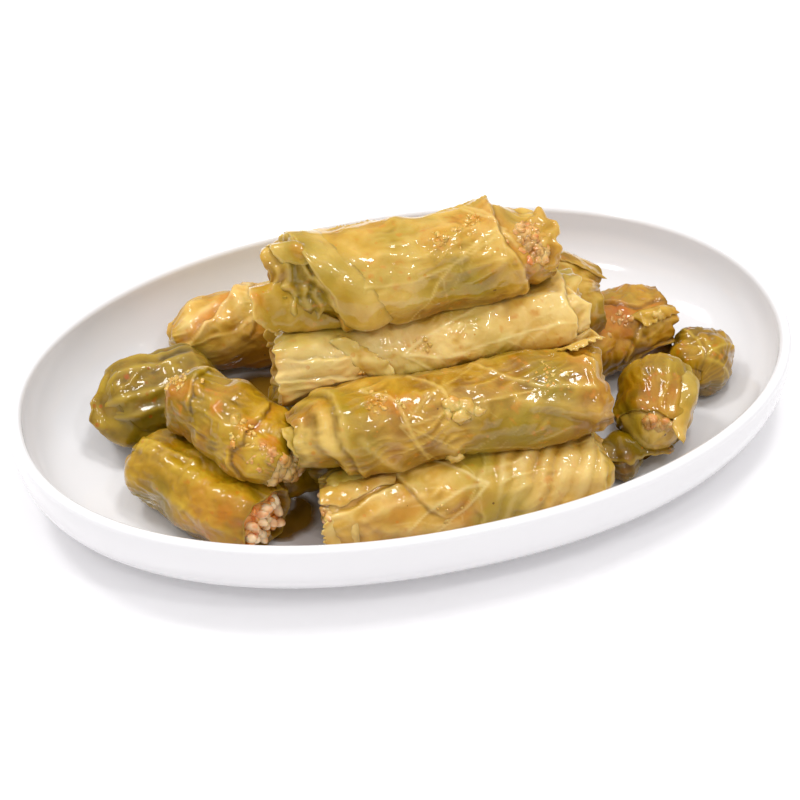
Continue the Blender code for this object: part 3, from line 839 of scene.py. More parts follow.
def makeRoll(roll):
    measureRoll(roll)
    left, along, side, up, length = rollAxes(roll)
    columns = roll.get("columns", 172)
    rows = max(int(length / roll.get("pitch", 0.54)), 24)
    turn = np.linspace(0, 2 * math.pi, columns, endpoint=False)
    place = np.linspace(0, 1, rows)
    radius = resample(roll["radius"], place, turn / (2 * math.pi))
    room = resample(roll["room"], place, turn / (2 * math.pi))
    meanRadius = float(radius[rows // 3: 2 * rows // 3].mean())
    u, angle = np.meshgrid(place * length, turn, indexing="ij")
    ray = side * np.cos(angle)[..., None] + up * np.sin(angle)[..., None]
    centre = left + along * u[..., None]
    relief = Relief(roll, u, angle, centre + ray * radius[..., None], meanRadius)
    relief.addAll(roll)
    shift = np.zeros((rows, columns))
    for end, style in enumerate(roll["ends"]):
        near = length - u if end else u
        if style["kind"] == "tucked":
            relief.addTucks(style, near, end)
            continue
        relief.addOpenEnd(style, near)
        outward = 1 if end else -1
        shift += outward * raggedRim(style, turn, roll["seed"] + end)[None, :] * smoothStep(1 - near / 9)
    relief.shadeByShape(room)
    free = np.maximum(room - roomMargin, -0.2) * 0.9
    skin = np.maximum(radius + np.minimum(relief.height, free), 1.0)
    body = centre + along * shift[..., None] + ray * skin[..., None]
    bodyMasks = relief.masks()
    leftRings, leftMasks = closeEnd(roll, 0, turn, ray[0], skin[0], shift[0], relief.tone[0])
    rightRings, rightMasks = closeEnd(roll, 1, turn, ray[-1], skin[-1], shift[-1], relief.tone[-1])
    rings = leftRings[::-1] + list(body) + rightRings
    masks = leftMasks[::-1] + list(bodyMasks) + rightMasks
    allPoints = np.vstack([rings[0].mean(0)[None]] + rings + [rings[-1].mean(0)[None]])
    allMasks = np.vstack([masks[0].mean(0)[None]] + masks + [masks[-1].mean(0)[None]])
    piece = finishPiece(roll["node"] + "_leaf", allPoints, tubeFaces(len(rings), columns),
                        leafMaterials[roll["colour"]])
    paintMasks(piece, allMasks)
    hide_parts(roll["node"])
    roll["skin"] = skin


# one dictionary a roll: places are (millimetres along, degrees round: 0 back, 90 top, 180 front)
# a bulge ends in two half widths and a height, a spot in a size, a kind and an amount
# the left end comes first in ends
rollTop = {
    "node": "roll_top", "fillingNode": "filling_top", "slot": "leaf_yellow", "colour": "yellow", "seed": 3,
    "left": (-41.6, -1.7, 68.5), "right": (42.8, -2.3, 68.5), "tone": 0.30, "swell": 1.0, "folds": 0.7,
    "edges": [
        {"path": [(5, 40), (6, 60), (7.1, 106), (9.5, 130), (13.4, 160), (16, 190), (19, 226), (22, 262)],
         "side": -1, "lift": 1.2, "recess": 3.0, "width": 20, "wave": 0.6, "tone": 0.35, "pale": 0.7,
         "fade": 14},
        {"path": [(66, 20), (67.7, 60), (67.7, 115), (70, 145), (73.3, 173), (75, 205), (76, 250)],
         "side": 1, "lift": 0.8, "recess": 2.2, "wave": 0.7, "stain": 0.4, "pale": 0.7, "fade": 16},
    ],
    "pleats": [{"from": -6, "to": 14, "middle": 150, "reach": 70, "spacing": 3.2, "depth": 1.5, "tone": 0.25,
                "pale": 0.4}],
    "bulges": [(66, 66, 9, 8, 1.1), (82, 90, 8, 20, -1.5), (3, 70, 6, 10, 1.2), (40, 66, 5, 5, 1.0),
               (6, 165, 6.5, 11, -5.0), (3, 132, 5, 7, -3.0), (15, 196, 3.5, 4, -3.0),
               (35, 150, 9, 5, 0.9), (50, 120, 6, 5, 0.8), (22, 200, 8, 5, 0.8)],
    "ridges": [
        {"path": [(16, 150), (28, 166), (40, 178), (58, 186)], "width": 2.6, "height": 0.9},
        {"path": [(30, 120), (45, 132), (62, 140)], "width": 1.6, "height": 0.7, "pale": 0.2},
        {"path": [(20, 185), (34, 205), (50, 214), (66, 212)], "width": 1.4, "height": 0.9, "pale": 0.25},
        {"path": [(60, 70), (66, 95), (72, 135)], "width": 0.7, "height": 0.5, "pale": 0.7},
    ],
    "spots": [(78, 130, 8, "stain", 0.55), (62, 95, 7, "stain", 0.4), (48, 105, 5, "stain", 0.35),
              (20, 200, 7, "stain", 0.35), (54, 160, 2, "dark", 0.4), (8, 195, 2.0, "dark", 0.9),
              (35, 175, 8, "pale", 0.25)],
    "veins": [{"root": (70, 110), "heading": 176, "spread": 60, "count": 3, "steps": 14, "width": 0.5}],
    "ends": [{"kind": "open", "layers": 2, "hollow": 5.0, "teeth": 1.0,
              "lobes": [(135, 25, 4.5), (75, 25, 2)]},
             {"kind": "open", "layers": 1, "hollow": 2.5, "teeth": 1.4}],
}
rollUpper = {
    "node": "roll_upper", "slot": "leaf_cream", "colour": "cream", "seed": 8, "tone": 0.30, "swell": 0.8,
    "left": (-41.7, -11.2, 46.5), "right": (53.2, -13.0, 46.5), "folds": 0.5,
    "edges": [
        {"path": [(17, 110), (19, 128), (24, 150), (29, 178), (31, 205)], "side": -1, "lift": 1.0,
         "recess": 0.6, "width": 26, "teeth": 1.6, "wave": 1.0, "stain": 0.3, "fade": 12, "tone": -0.15},
        {"path": [(-8, 124), (6, 134), (20, 140)], "side": 1, "lift": 0.9, "wave": 0.5, "fade": 7,
         "stain": 0.25, "dark": 0.4},
        {"path": [(-8, 150), (8, 162), (26, 176)], "side": 1, "lift": 1.0, "wave": 0.5, "fade": 7,
         "stain": 0.25, "dark": 0.4},
        {"path": [(87, 50), (88.5, 80), (86, 120), (89, 150), (87, 190)], "side": 1, "lift": 0.8,
         "recess": 1.2, "teeth": 0.8, "fade": 10},
    ],
    "bulges": [(65.8, 109, 1.6, 1.6, 1.0), (78, 112, 5, 4, 0.7), (52, 120, 4, 4, 0.7), (60, 135, 4, 3, 0.6),
               (44, 128, 5, 4, 0.6), (90, 100, 4, 5, 0.8)],
    "ridges": [
        {"path": [(36, 178), (52, 186), (70, 190), (86, 184)], "width": 2.2, "height": 0.8},
        {"path": [(70, 95), (82, 105), (92, 112)], "width": 1.0, "height": 0.6, "pale": 0.4},
        {"path": [(30, 140), (42, 158), (58, 168)], "width": 1.8, "height": 0.6},
    ],
    "spots": [(2, 135, 4, "stain", 0.4), (10, 176, 3, "stain", 0.4), (40, 140, 3, "stain", 0.4),
              # the wide pale spots and paler tone at the left end are partly the leaf's own cream colour and
              # partly painted light
              (8, 150, 11, "pale", 0.7), (14, 150, 14, "tone", -0.3), (24, 132, 8, "pale", 0.5),
              (34, 165, 6, "pale", 0.3),
              (25, 165, 5, "stain", 0.4), (60, 120, 9, "pale", 0.3), (86, 110, 6, "pale", 0.3)],
    "veins": [{"root": (34, 150), "heading": 4, "spread": 50, "count": 3, "steps": 16, "width": 0.5}],
    "ends": [{"kind": "open", "layers": 2, "hollow": 3.5, "teeth": 1.6, "wave": 2.2, "frill": 1.6,
              "reach": 2.5, "taper": 0.6, "lobes": [(150, 22, 2.0), (195, 16, 1.5)]},
             {"kind": "open", "layers": 1, "hollow": 3.0, "teeth": 1.4, "frill": 1.4, "reach": -2.5}],
}
rollMiddle = {
    "node": "roll_middle", "slot": "leaf_yellow", "colour": "yellow", "seed": 12, "tone": 0.68, "swell": 0.7,
    "left": (-39.7, -35.5, 39.0), "right": (51.4, -38.5, 39.0), "folds": 0.6,
    "edges": [
        {"path": [(2, 40), (3.8, 70), (4.2, 120), (4.6, 156), (7, 190), (9.5, 221), (11, 255)], "side": -1,
         "lift": 0.9, "recess": 2.4, "width": 30, "wave": 0.3, "pale": 0.5, "fade": 30, "tone": 0.1},
        {"path": [(5, 40), (6.9, 70), (7.5, 146), (10, 180), (14, 220), (16, 255)], "side": -1,
         "lift": 1.0, "wave": 0.3, "pale": 0.6, "fade": 40},
        {"path": [(79, 50), (80, 84), (84, 90), (88, 96)], "side": 1, "lift": 0.9, "wave": 0.5, "fade": 6},
    ],
    "pleats": [{"from": -12, "to": 5, "middle": 165, "reach": 90, "spacing": 2.6, "depth": 0.4, "tone": 0.0,
                "pale": 0.45, "dark": 0.3}],
    "bulges": [(65, 60, 6, 5, 1.4), (43, 135, 6, 3.2, 1.3), (39.5, 182, 2.4, 3.0, 1.8), (20, 105, 5, 4, 0.5),
               (82, 75, 4, 4, 1.0), (74, 118, 4, 3, 0.5)],
    "ridges": [
        {"path": [(60, 134), (74, 150), (88, 166)], "width": 2.2, "height": 1.0, "pale": 0.3},
        {"path": [(66, 152), (78, 172), (90, 188)], "width": 1.6, "height": -0.7},
        {"path": [(16, 75), (24, 110), (27, 150), (32, 190)], "width": 0.6, "height": 0.35, "pale": 0.55},
        {"path": [(30, 70), (38, 100), (40, 130)], "width": 0.6, "height": 0.3, "pale": 0.55},
        {"path": [(50, 60), (58, 95), (68, 120), (84, 132)], "width": 0.7, "height": 0.35, "pale": 0.5},
        {"path": [(12, 150), (22, 190), (34, 214), (52, 222)], "width": 1.2, "height": 0.5, "pale": 0.3},
    ],
    "spots": [(20, 103, 5, "stain", 0.6), (26, 112, 4, "stain", 0.5), (82, 78, 5, "stain", 0.5),
              (68, 112, 1.5, "dark", 0.5), (64, 120, 1.2, "dark", 0.5), (43, 132, 6, "pale", 0.35),
              (1, 84, 4, "stain", 0.5), (88, 150, 7, "stain", 0.3), (66, 100, 10, "tone", 0.2),
              (-1, 152, 8, "pale", 0.6), (-1, 150, 12, "tone", -0.35)],
    "veins": [{"root": (24, 140), "heading": 6, "spread": 80, "count": 4, "steps": 14, "width": 0.32}],
    "veinPale": 0.5, "veinHeight": 0.15,
    "ends": [{"kind": "open", "layers": 2, "hollow": 3.0, "reach": 6.0, "flare": -1.0, "teeth": 0.6,
              "wave": 1.2, "frill": 0.5},
             {"kind": "open", "layers": 1, "hollow": 3.0, "teeth": 1.6, "reach": -4.2,
              "lobes": [(70, 18, 2), (190, 25, 1.5)]}],
}
rollFront = {
    "node": "roll_front", "fillingNode": "filling_front", "slot": "leaf_cream", "colour": "cream", "seed": 17,
    "left": (-37.7, -47.2, 18.0), "right": (50.2, -50.8, 18.0), "tone": 0.30, "swell": 0.7, "folds": 0.5,
    "pleats": [{"from": 47, "to": 92, "middle": 135, "reach": 100, "spacing": 6.6, "slant": 6.0, "depth": 0.8,
                "sharp": 0.9, "dark": 0.08, "pale": 0.4, "tone": 0.05}],
    "edges": [
        {"path": [(16, 70), (19, 88), (22.5, 115), (25, 135), (31, 160)], "side": -1, "lift": 0.9,
         "wave": 0.6, "pale": 0.7, "fade": 18},
        {"path": [(43, 70), (46, 95), (44, 120), (42, 150), (43, 185)], "side": -1, "lift": 0.6, "wave": 1.0,
         "pale": 0.4, "dark": 0.3, "tone": 0.15, "fade": 20},
        {"path": [(-6, 146), (-1, 141), (5, 134), (12, 119), (19, 111)], "side": 1, "lift": 1.2,
         "recess": 0.8, "width": 10, "pale": 0.6, "wave": 0.4, "fade": 10, "stain": 0.5},
    ],
    "bulges": [(30, 130, 4, 3, 0.6), (38, 115, 4, 3, 0.6), (34, 145, 3, 3, 0.5), (58, 95, 8, 4, 0.6)],
    "ridges": [
        {"path": [(6, 160), (20, 172), (36, 178)], "width": 2.0, "height": 0.5, "pale": 0.3},
        {"path": [(8, 150), (16, 138), (26, 132)], "width": 1.2, "height": 0.4, "pale": 0.3},
    ],
    "spots": [(64.2, 138, 1.3, "stain", 1.6), (20, 140, 6, "stain", 0.5), (10, 150, 5, "stain", 0.35),
              (62, 150, 10, "pale", 0.25), (76, 130, 8, "pale", 0.25), (36, 172, 5, "stain", 0.3)],
    "veins": [{"root": (46, 130), "heading": 172, "spread": 70, "count": 3, "steps": 8, "width": 0.5}],
    "ends": [{"kind": "open", "layers": 1, "hollow": 4.0, "teeth": 1.4, "lobes": [(160, 25, 3)]},
             {"kind": "open", "layers": 1, "hollow": 3.0, "teeth": 0.8, "reach": -3.4, "taper": 3.0}],
}
rollBack = {
    "node": "roll_back", "slot": "leaf_yellow", "colour": "yellow", "seed": 21, "columns": 120, "pitch": 0.8,
    "left": (-28.0, 9.0, 42.0), "right": (64.5, 7.5, 37.5), "tone": 0.6, "swell": 1.1,
    "edges": [{"path": [(70, 30), (74, 60), (76, 95), (80, 140)], "side": -1, "lift": 1.1, "fade": 16}],
    "bulges": [(95, 70, 11, 14, -6.5), (97, 110, 8, 10, -4.0), (80, 84, 4, 4, 0.8)],
    "veins": [{"root": (20, 80), "heading": 5, "spread": 60, "count": 4, "steps": 18, "width": 0.6}],
    "ends": [{"kind": "tucked"}, {"kind": "open", "layers": 1, "hollow": 2.5, "lobes": [(76, 20, 3)]}],
}
rollBackLeft = {
    "node": "roll_back_left", "slot": "leaf_cream", "colour": "cream", "seed": 25, "tone": 0.40, "swell": 1.2,
    "pitch": 0.66, "left": (-66.0, 43.5, 18.8), "right": (16.0, 42.0, 18.0),
    "edges": [
        {"path": [(-2, 175), (3, 152), (8, 128), (14, 104), (20, 80), (24, 50)], "side": 1, "lift": 1.8,
         "recess": 1.4, "width": 24, "stain": 1.0, "wave": 0.6, "fade": 9},
        {"path": [(28, 60), (25, 90), (26, 120), (23, 150)], "side": 1, "lift": 1.4, "stain": 0.5, "fade": 8},
    ],
    "bulges": [(21, 103, 4, 5, 1.5), (34, 95, 7, 7, 1.0)],
    "ridges": [{"path": [(4, 120), (9, 100), (14, 84)], "width": 1.6, "height": 0.8, "pale": 0.4}],
    "spots": [(20, 130, 6, "tone", 0.4), (30, 150, 9, "tone", 0.4)],
    "ends": [{"kind": "tucked", "puckers": 3, "depth": 1.6}, {"kind": "tucked"}],
}
rollLeftDark = {
    "node": "roll_left_dark", "slot": "leaf_dark", "colour": "dark", "seed": 29, "tone": 0.4, "pitch": 0.4,
    "left": (-94.5, 17.5, 18.0), "right": (-58.0, 17.0, 18.0), "swell": 1.2, "folds": 0.6, "bumpy": 0.5,
    "wrinkle": 0.2,
    "ridges": [
        {"path": [(3, 62), (14, 66), (30, 62)], "width": 1.3, "height": 0.8, "pale": 0.75},
        {"path": [(2, 92), (14, 90), (30, 84)], "width": 1.4, "height": 0.9, "pale": 0.75},
        {"path": [(1, 132), (12, 128), (30, 118)], "width": 1.6, "height": 1.1, "pale": 0.8},
        {"path": [(0, 160), (12, 152), (28, 146)], "width": 1.3, "height": 0.8, "pale": 0.6},
        {"path": [(4, 45), (16, 50), (30, 48)], "width": 1.3, "height": 0.7, "pale": 0.5},
    ],
    "edges": [{"path": [(2, 60), (1, 100), (0, 140), (2, 180)], "side": -1, "lift": 1.0, "teeth": 0.8}],
    "clean": 0.8, "spots": [(8.4, 100, 0.8, "stain", 1.4), (24, 50, 8, "tone", 0.5)],
    "ends": [{"kind": "tucked", "puckers": 5, "depth": 1.8}, {"kind": "tucked"}],
}
rollLeftOver = {
    "node": "roll_left_over", "fillingNode": "filling_left_over", "slot": "leaf_olive", "colour": "olive",
    "left": (-72.3, -0.8, 37.0), "right": (-49.5, -38.5, 31.0), "seed": 33, "tone": 0.38, "pitch": 0.42,
    "swell": 1.3, "folds": 0.7, "bumpy": 1.0, "wrinkle": 0.45, "clean": 0.35,
    "bulges": [(2, 132, 4, 5, 1.6), (5, 74, 4, 4, 1.6), (7, 92, 2.2, 2.2, 1.2), (10, 106, 2.2, 2.0, 1.0),
               (26, 130, 4, 4, 1.0), (30, 115, 3, 3, 0.9), (34, 120, 3, 2, 0.8)],
    "edges": [
        {"path": [(8, 60), (9, 90), (10, 115), (14, 140)], "side": 1, "lift": 0.8, "wave": 1.2, "fade": 6},
        {"path": [(30, 60), (32, 95), (34, 125), (33, 150), (38, 180)], "side": 1, "lift": 0.9, "wave": 1.2,
         "fade": 9, "recess": 0.5, "stain": 0.5},
    ],
    "spots": [(2, 132, 6, "stain", 0.7), (20, 112, 2, "stain", 1.2), (32, 104, 3, "stain", 0.9),
              (40, 104, 3, "stain", 1.0), (40, 130, 7, "pale", 0.3), (28, 118, 5, "pale", 0.3)],
    "ends": [{"kind": "tucked", "puckers": 4},
             {"kind": "open", "layers": 0, "hollow": 0.8, "wave": 2.0, "taper": 3.2}],
}
rollLeftOpen = {
    "node": "roll_left_open", "fillingNode": "filling_left_open", "slot": "leaf_olive", "colour": "olive",
    "left": (-87.2, -5.8, 17.0), "right": (-57.3, -44.5, 17.0), "seed": 38, "tone": 0.35, "pitch": 0.42,
    "swell": 0.8, "folds": 0.6, "ripple": 0.18,
    "ridges": [
        {"path": [(0, 112), (14, 112), (26, 116), (38, 120), (47, 122)], "width": 3.6, "height": 1.0,
         "pale": 0.15},
        {"path": [(2, 96), (12, 98), (22, 94)], "width": 1.2, "height": 0.6, "pale": 0.4},
        {"path": [(16, 158), (30, 162), (44, 160)], "width": 1.4, "height": 0.5, "pale": 0.3},
    ],
    "bulges": [(20, 118, 2.2, 2, 0.6), (25, 121, 2.2, 2, 0.6), (30, 120, 2.0, 2, 0.6), (35, 124, 2, 2, 0.5)],
    "spots": [(38, 150, 9, "stain", 0.45), (46, 130, 6, "stain", 0.5), (12, 150, 9, "tone", 0.25)],
    "ends": [{"kind": "tucked", "puckers": 4},
             {"kind": "open", "layers": 0, "hollow": 2.4, "wall": 1.7, "teeth": 0.3, "wave": 1.0}],
}
rollRightBrown = {
    "node": "roll_right_brown", "slot": "leaf_brown", "colour": "brown", "seed": 41, "tone": 0.35,
    "left": (14.0, 6.0, 18.0), "right": (87.5, 8.5, 18.5), "swell": 1.7, "folds": 1.1, "bumpy": 1.3,
    "clean": 0.3, "wrinkle": 0.6,
    "edges": [
        {"path": [(50, 60), (58, 84), (64, 104), (70, 96)], "side": -1, "lift": 1.3, "fade": 6, "stain": 0.6},
        {"path": [(57, 186), (62, 150), (66, 130), (74, 118)], "side": 1, "lift": 1.4, "fade": 6,
         "pale": 0.6},
        {"path": [(60, 192), (68, 176), (76, 168)], "side": 1, "lift": 1.0, "fade": 5, "pale": 0.6},
    ],
    "bulges": [(68, 128, 3, 3, 1.4), (56, 178, 3, 3, 0.9), (54, 120, 6, 6, 0.8)],
    "spots": [(56, 118, 7, "stain", 0.7), (60, 130, 2, "dark", 0.5), (70, 130, 3, "pale", 0.5)],
    "ends": [{"kind": "tucked"},
             {"kind": "tucked", "puckers": 4, "folds": [(60, 1.0, 1.2), (190, 2.0, 1.0)]}],
}
rollRightOpen = {
    "node": "roll_right_open", "fillingNode": "filling_right_open", "slot": "leaf_yellow", "colour": "olive",
    "seed": 45, "left": (68.2, -37.5, 17.8), "right": (79.0, -16.5, 20.0), "tone": 0.4, "pitch": 0.36,
    "swell": 0.8, "clean": 0.3, "bulges": [(18, 95, 10, 10, 2.0), (10, 120, 9, 8, 1.0)],
    "ridges": [{"path": [(6, 150), (12, 140), (22, 132)], "width": 1.2, "height": 0.8, "pale": 0.6},
               {"path": [(2, 100), (8, 104), (16, 100)], "width": 0.9, "height": 0.5, "pale": 0.4}],
    "spots": [(3, 84, 6, "stain", 0.4), (8, 120, 4, "stain", 0.4)],
    "ends": [{"kind": "open", "layers": 0, "hollow": 2.0, "wall": 1.4, "teeth": 0.6, "lobes": [(140, 20, 2)]},
             {"kind": "tucked"}],
}
rollRightGreen = {
    "node": "roll_right_green", "slot": "leaf_olive", "colour": "olive", "seed": 49, "pitch": 0.36,
    "left": (91.0, -18.0, 15.3), "right": (100.5, -1.0, 15.3), "tone": 0.6, "folds": 0.9, "bumpy": 0.9,
    "veins": [{"root": (2, 100), "heading": 20, "spread": 120, "count": 3, "steps": 6, "width": 0.5}],
    "veinHeight": 0.12, "bulges": [(8, 110, 7, 7, 1.0), (16, 150, 6, 6, 0.8)],
    "ends": [{"kind": "tucked", "puckers": 3, "depth": 0.7}, {"kind": "tucked", "depth": 0.7}],
}
leafEndRight = {
    "node": "leaf_end_right", "slot": "leaf_olive", "colour": "olive", "seed": 53, "columns": 100,
    "pitch": 0.4, "left": (52.5, -41.5, 11.5), "right": (62.0, -42.0, 11.0), "tone": 1.0, "folds": 1.0,
    "spots": [(7, 100, 1.2, "stain", 1.8)], "ends": [{"kind": "tucked"}, {"kind": "tucked"}],
}
rollUnderFront = {
    "node": "roll_under_front", "slot": "leaf_olive", "colour": "olive", "seed": 57, "columns": 90,
    "pitch": 1.1, "left": (-40.4, -21.2, 18.0), "right": (52.0, -24.5, 18.0), "tone": 0.5,
    "ends": [{"kind": "tucked"}, {"kind": "tucked"}],
}
rollUnderBack = {
    "node": "roll_under_back", "slot": "leaf_olive", "colour": "olive", "seed": 61, "columns": 90,
    "pitch": 1.1, "left": (-42.0, 4.0, 18.0), "right": (-6.0, 5.0, 18.0), "tone": 0.5,
    "ends": [{"kind": "tucked"}, {"kind": "tucked"}],
}
allRolls = [rollTop, rollUpper, rollMiddle, rollFront, rollBack, rollBackLeft, rollLeftDark, rollLeftOver,
            rollLeftOpen, rollRightBrown, rollRightOpen, rollRightGreen, leafEndRight, rollUnderFront,
            rollUnderBack]

for roll in allRolls:
    makeRoll(roll)
    print("roll made:", roll["node"])


def skinRadius(roll, u, turn):
    length = rollAxes(roll)[4]
    place = np.array([np.clip(u / length, 0, 1)])
    return float(resample(roll["skin"], place, np.array([(turn / 360.0) % 1.0]))[0, 0])


def skinPoint(roll, u, turn, proud=0.0):
    # the place on a roll's skin and the way out from it
    left, along, side, up = rollAxes(roll)[:4]
    out = side * math.cos(math.radians(turn)) + up * math.sin(math.radians(turn))
    return left + along * u + out * (skinRadius(roll, u, turn) + proud), out


# loose leaf flaps: thin closed sheets through a small cage of places over a roll's skin
def splineRows(cage, count):
    return np.stack([smoothPath(cage[:, j], count) for j in range(cage.shape[1])], 1)


flapThickness = 0.9
flapRows, flapColumns = 54, 28


def cutEdge(fine, flap, share, edge):
    # bites out of the free edge: each row of places is drawn in by its own part
    line = np.stack([share * 40, share * 0, share * 0], -1)
    teeth = softNoise(line, 1.9 * flap.get("tooth", 3.0), flap["seed"])
    bite = 0.8 * flap["bite"] * (0.4 + teeth) + 0.015 * softNoise(line, 1.5, flap["seed"] + 6)
    bite = np.clip(bite, 0, 0.6)
    for i in range(flapRows):
        target = edge * (1 - bite[i])
        for axis in range(3):
            fine[i, :, axis] = np.interp(target, edge, fine[i, :, axis])


def makeFlap(name, flap):
    # a cage row runs from the hidden root to the free edge
    # each place is (along, degrees, height over the skin)
    roll = flap["roll"]
    left, along, side, up = rollAxes(roll)[:4]
    cage = np.array([[(u, math.radians(turn), skinRadius(roll, u, turn) + proud) for u, turn, proud in row]
                     for row in flap["cage"]])
    fine = splineRows(cage, flapRows)
    fine = np.swapaxes(splineRows(np.swapaxes(fine, 0, 1), flapColumns), 0, 1)
    share = np.linspace(0, 1, flapRows)
    edge = np.linspace(0, 1, flapColumns)
    seed = flap["seed"]
    cutEdge(fine, flap, share, edge)
    u, turn, radius = fine[..., 0], fine[..., 1], fine[..., 2]
    out = side * np.cos(turn)[..., None] + up * np.sin(turn)[..., None]
    points = left + along * u[..., None] + out * radius[..., None]
    free = np.broadcast_to(edge, u.shape)
    waves = softNoise(points, flap.get("wave", 5.0), seed + 1)
    ruffle = flap["ruffle"] * waves * (0.3 + free) + 0.18 * softNoise(points, 2.0, seed + 2)
    points = points + out * ruffle[..., None]
    normal = np.cross(np.gradient(points, axis=0), np.gradient(points, axis=1))
    upright = (normal * out).sum() > 0
    normal /= np.linalg.norm(normal, axis=-1)[..., None] + 1e-9
    if (normal * out).sum() < 0:
        normal = -normal
    rim = np.minimum((1 - free) * 9 + 0.3, 1)
    ends = np.minimum(np.minimum(share * 12 + 0.3, (1 - share) * 12 + 0.3), 1)[:, None]
    thick = flapThickness * rim * ends
    top = points + normal * (thick / 2)[..., None]
    low = points - normal * (thick / 2)[..., None]
    allPoints = np.vstack([top.reshape(-1, 3), low.reshape(-1, 3)])
    faces = sheetFaces(flapRows, flapColumns, upright)
    material = leafMaterials[flap.get("colour", roll["colour"])]
    piece = finishPiece(name, allPoints, faces, material)
    # painted light and shade: parts of the ruffle that stand out are paler, sunken parts deeper
    tone = flap["tone"] + 0.25 * softNoise(points, 9, seed + 3) - 0.5 * np.clip(ruffle, -0.5, 0.5)
    stain = flap.get("stain", 0.0) + 0.5 * smoothStep(softNoise(points, 6, seed + 4) * 1.6 - 0.5)
    # a painted highlight along the free edge and painted shade at the root
    veinAndHighlight = 0.6 * smoothStep((free - 0.93) / 0.06)
    shadeAndSpecks = 0.5 * smoothStep((0.12 - free) / 0.12)
    masks = np.stack([tone, stain, veinAndHighlight, shadeAndSpecks], -1).reshape(-1, 4)
    # the lower face gets a deeper copy of the masks: painted shade
    paintMasks(piece, np.vstack([masks, masks + [0.15, 0, 0, 0.1]]))


def sheetFaces(rows, columns, outward):
    # top and bottom of a sheet, joined all round
    count = rows * columns
    faces = []
    for i in range(rows - 1):
        for j in range(columns - 1):
            a = i * columns + j
            quad = (a, a + columns, a + columns + 1, a + 1)
            faces.append(quad)
            faces.append(tuple(count + k for k in reversed(quad)))
    loop = list(range(columns))
    loop += [i * columns + columns - 1 for i in range(1, rows)]
    loop += [(rows - 1) * columns + j for j in range(columns - 2, -1, -1)]
    loop += [i * columns for i in range(rows - 2, 0, -1)]
    for a, b in zip(loop, loop[1:] + loop[:1]):
        faces.append((a, b, count + b, count + a))
    if outward:
        return faces
    return [tuple(reversed(f)) for f in faces]


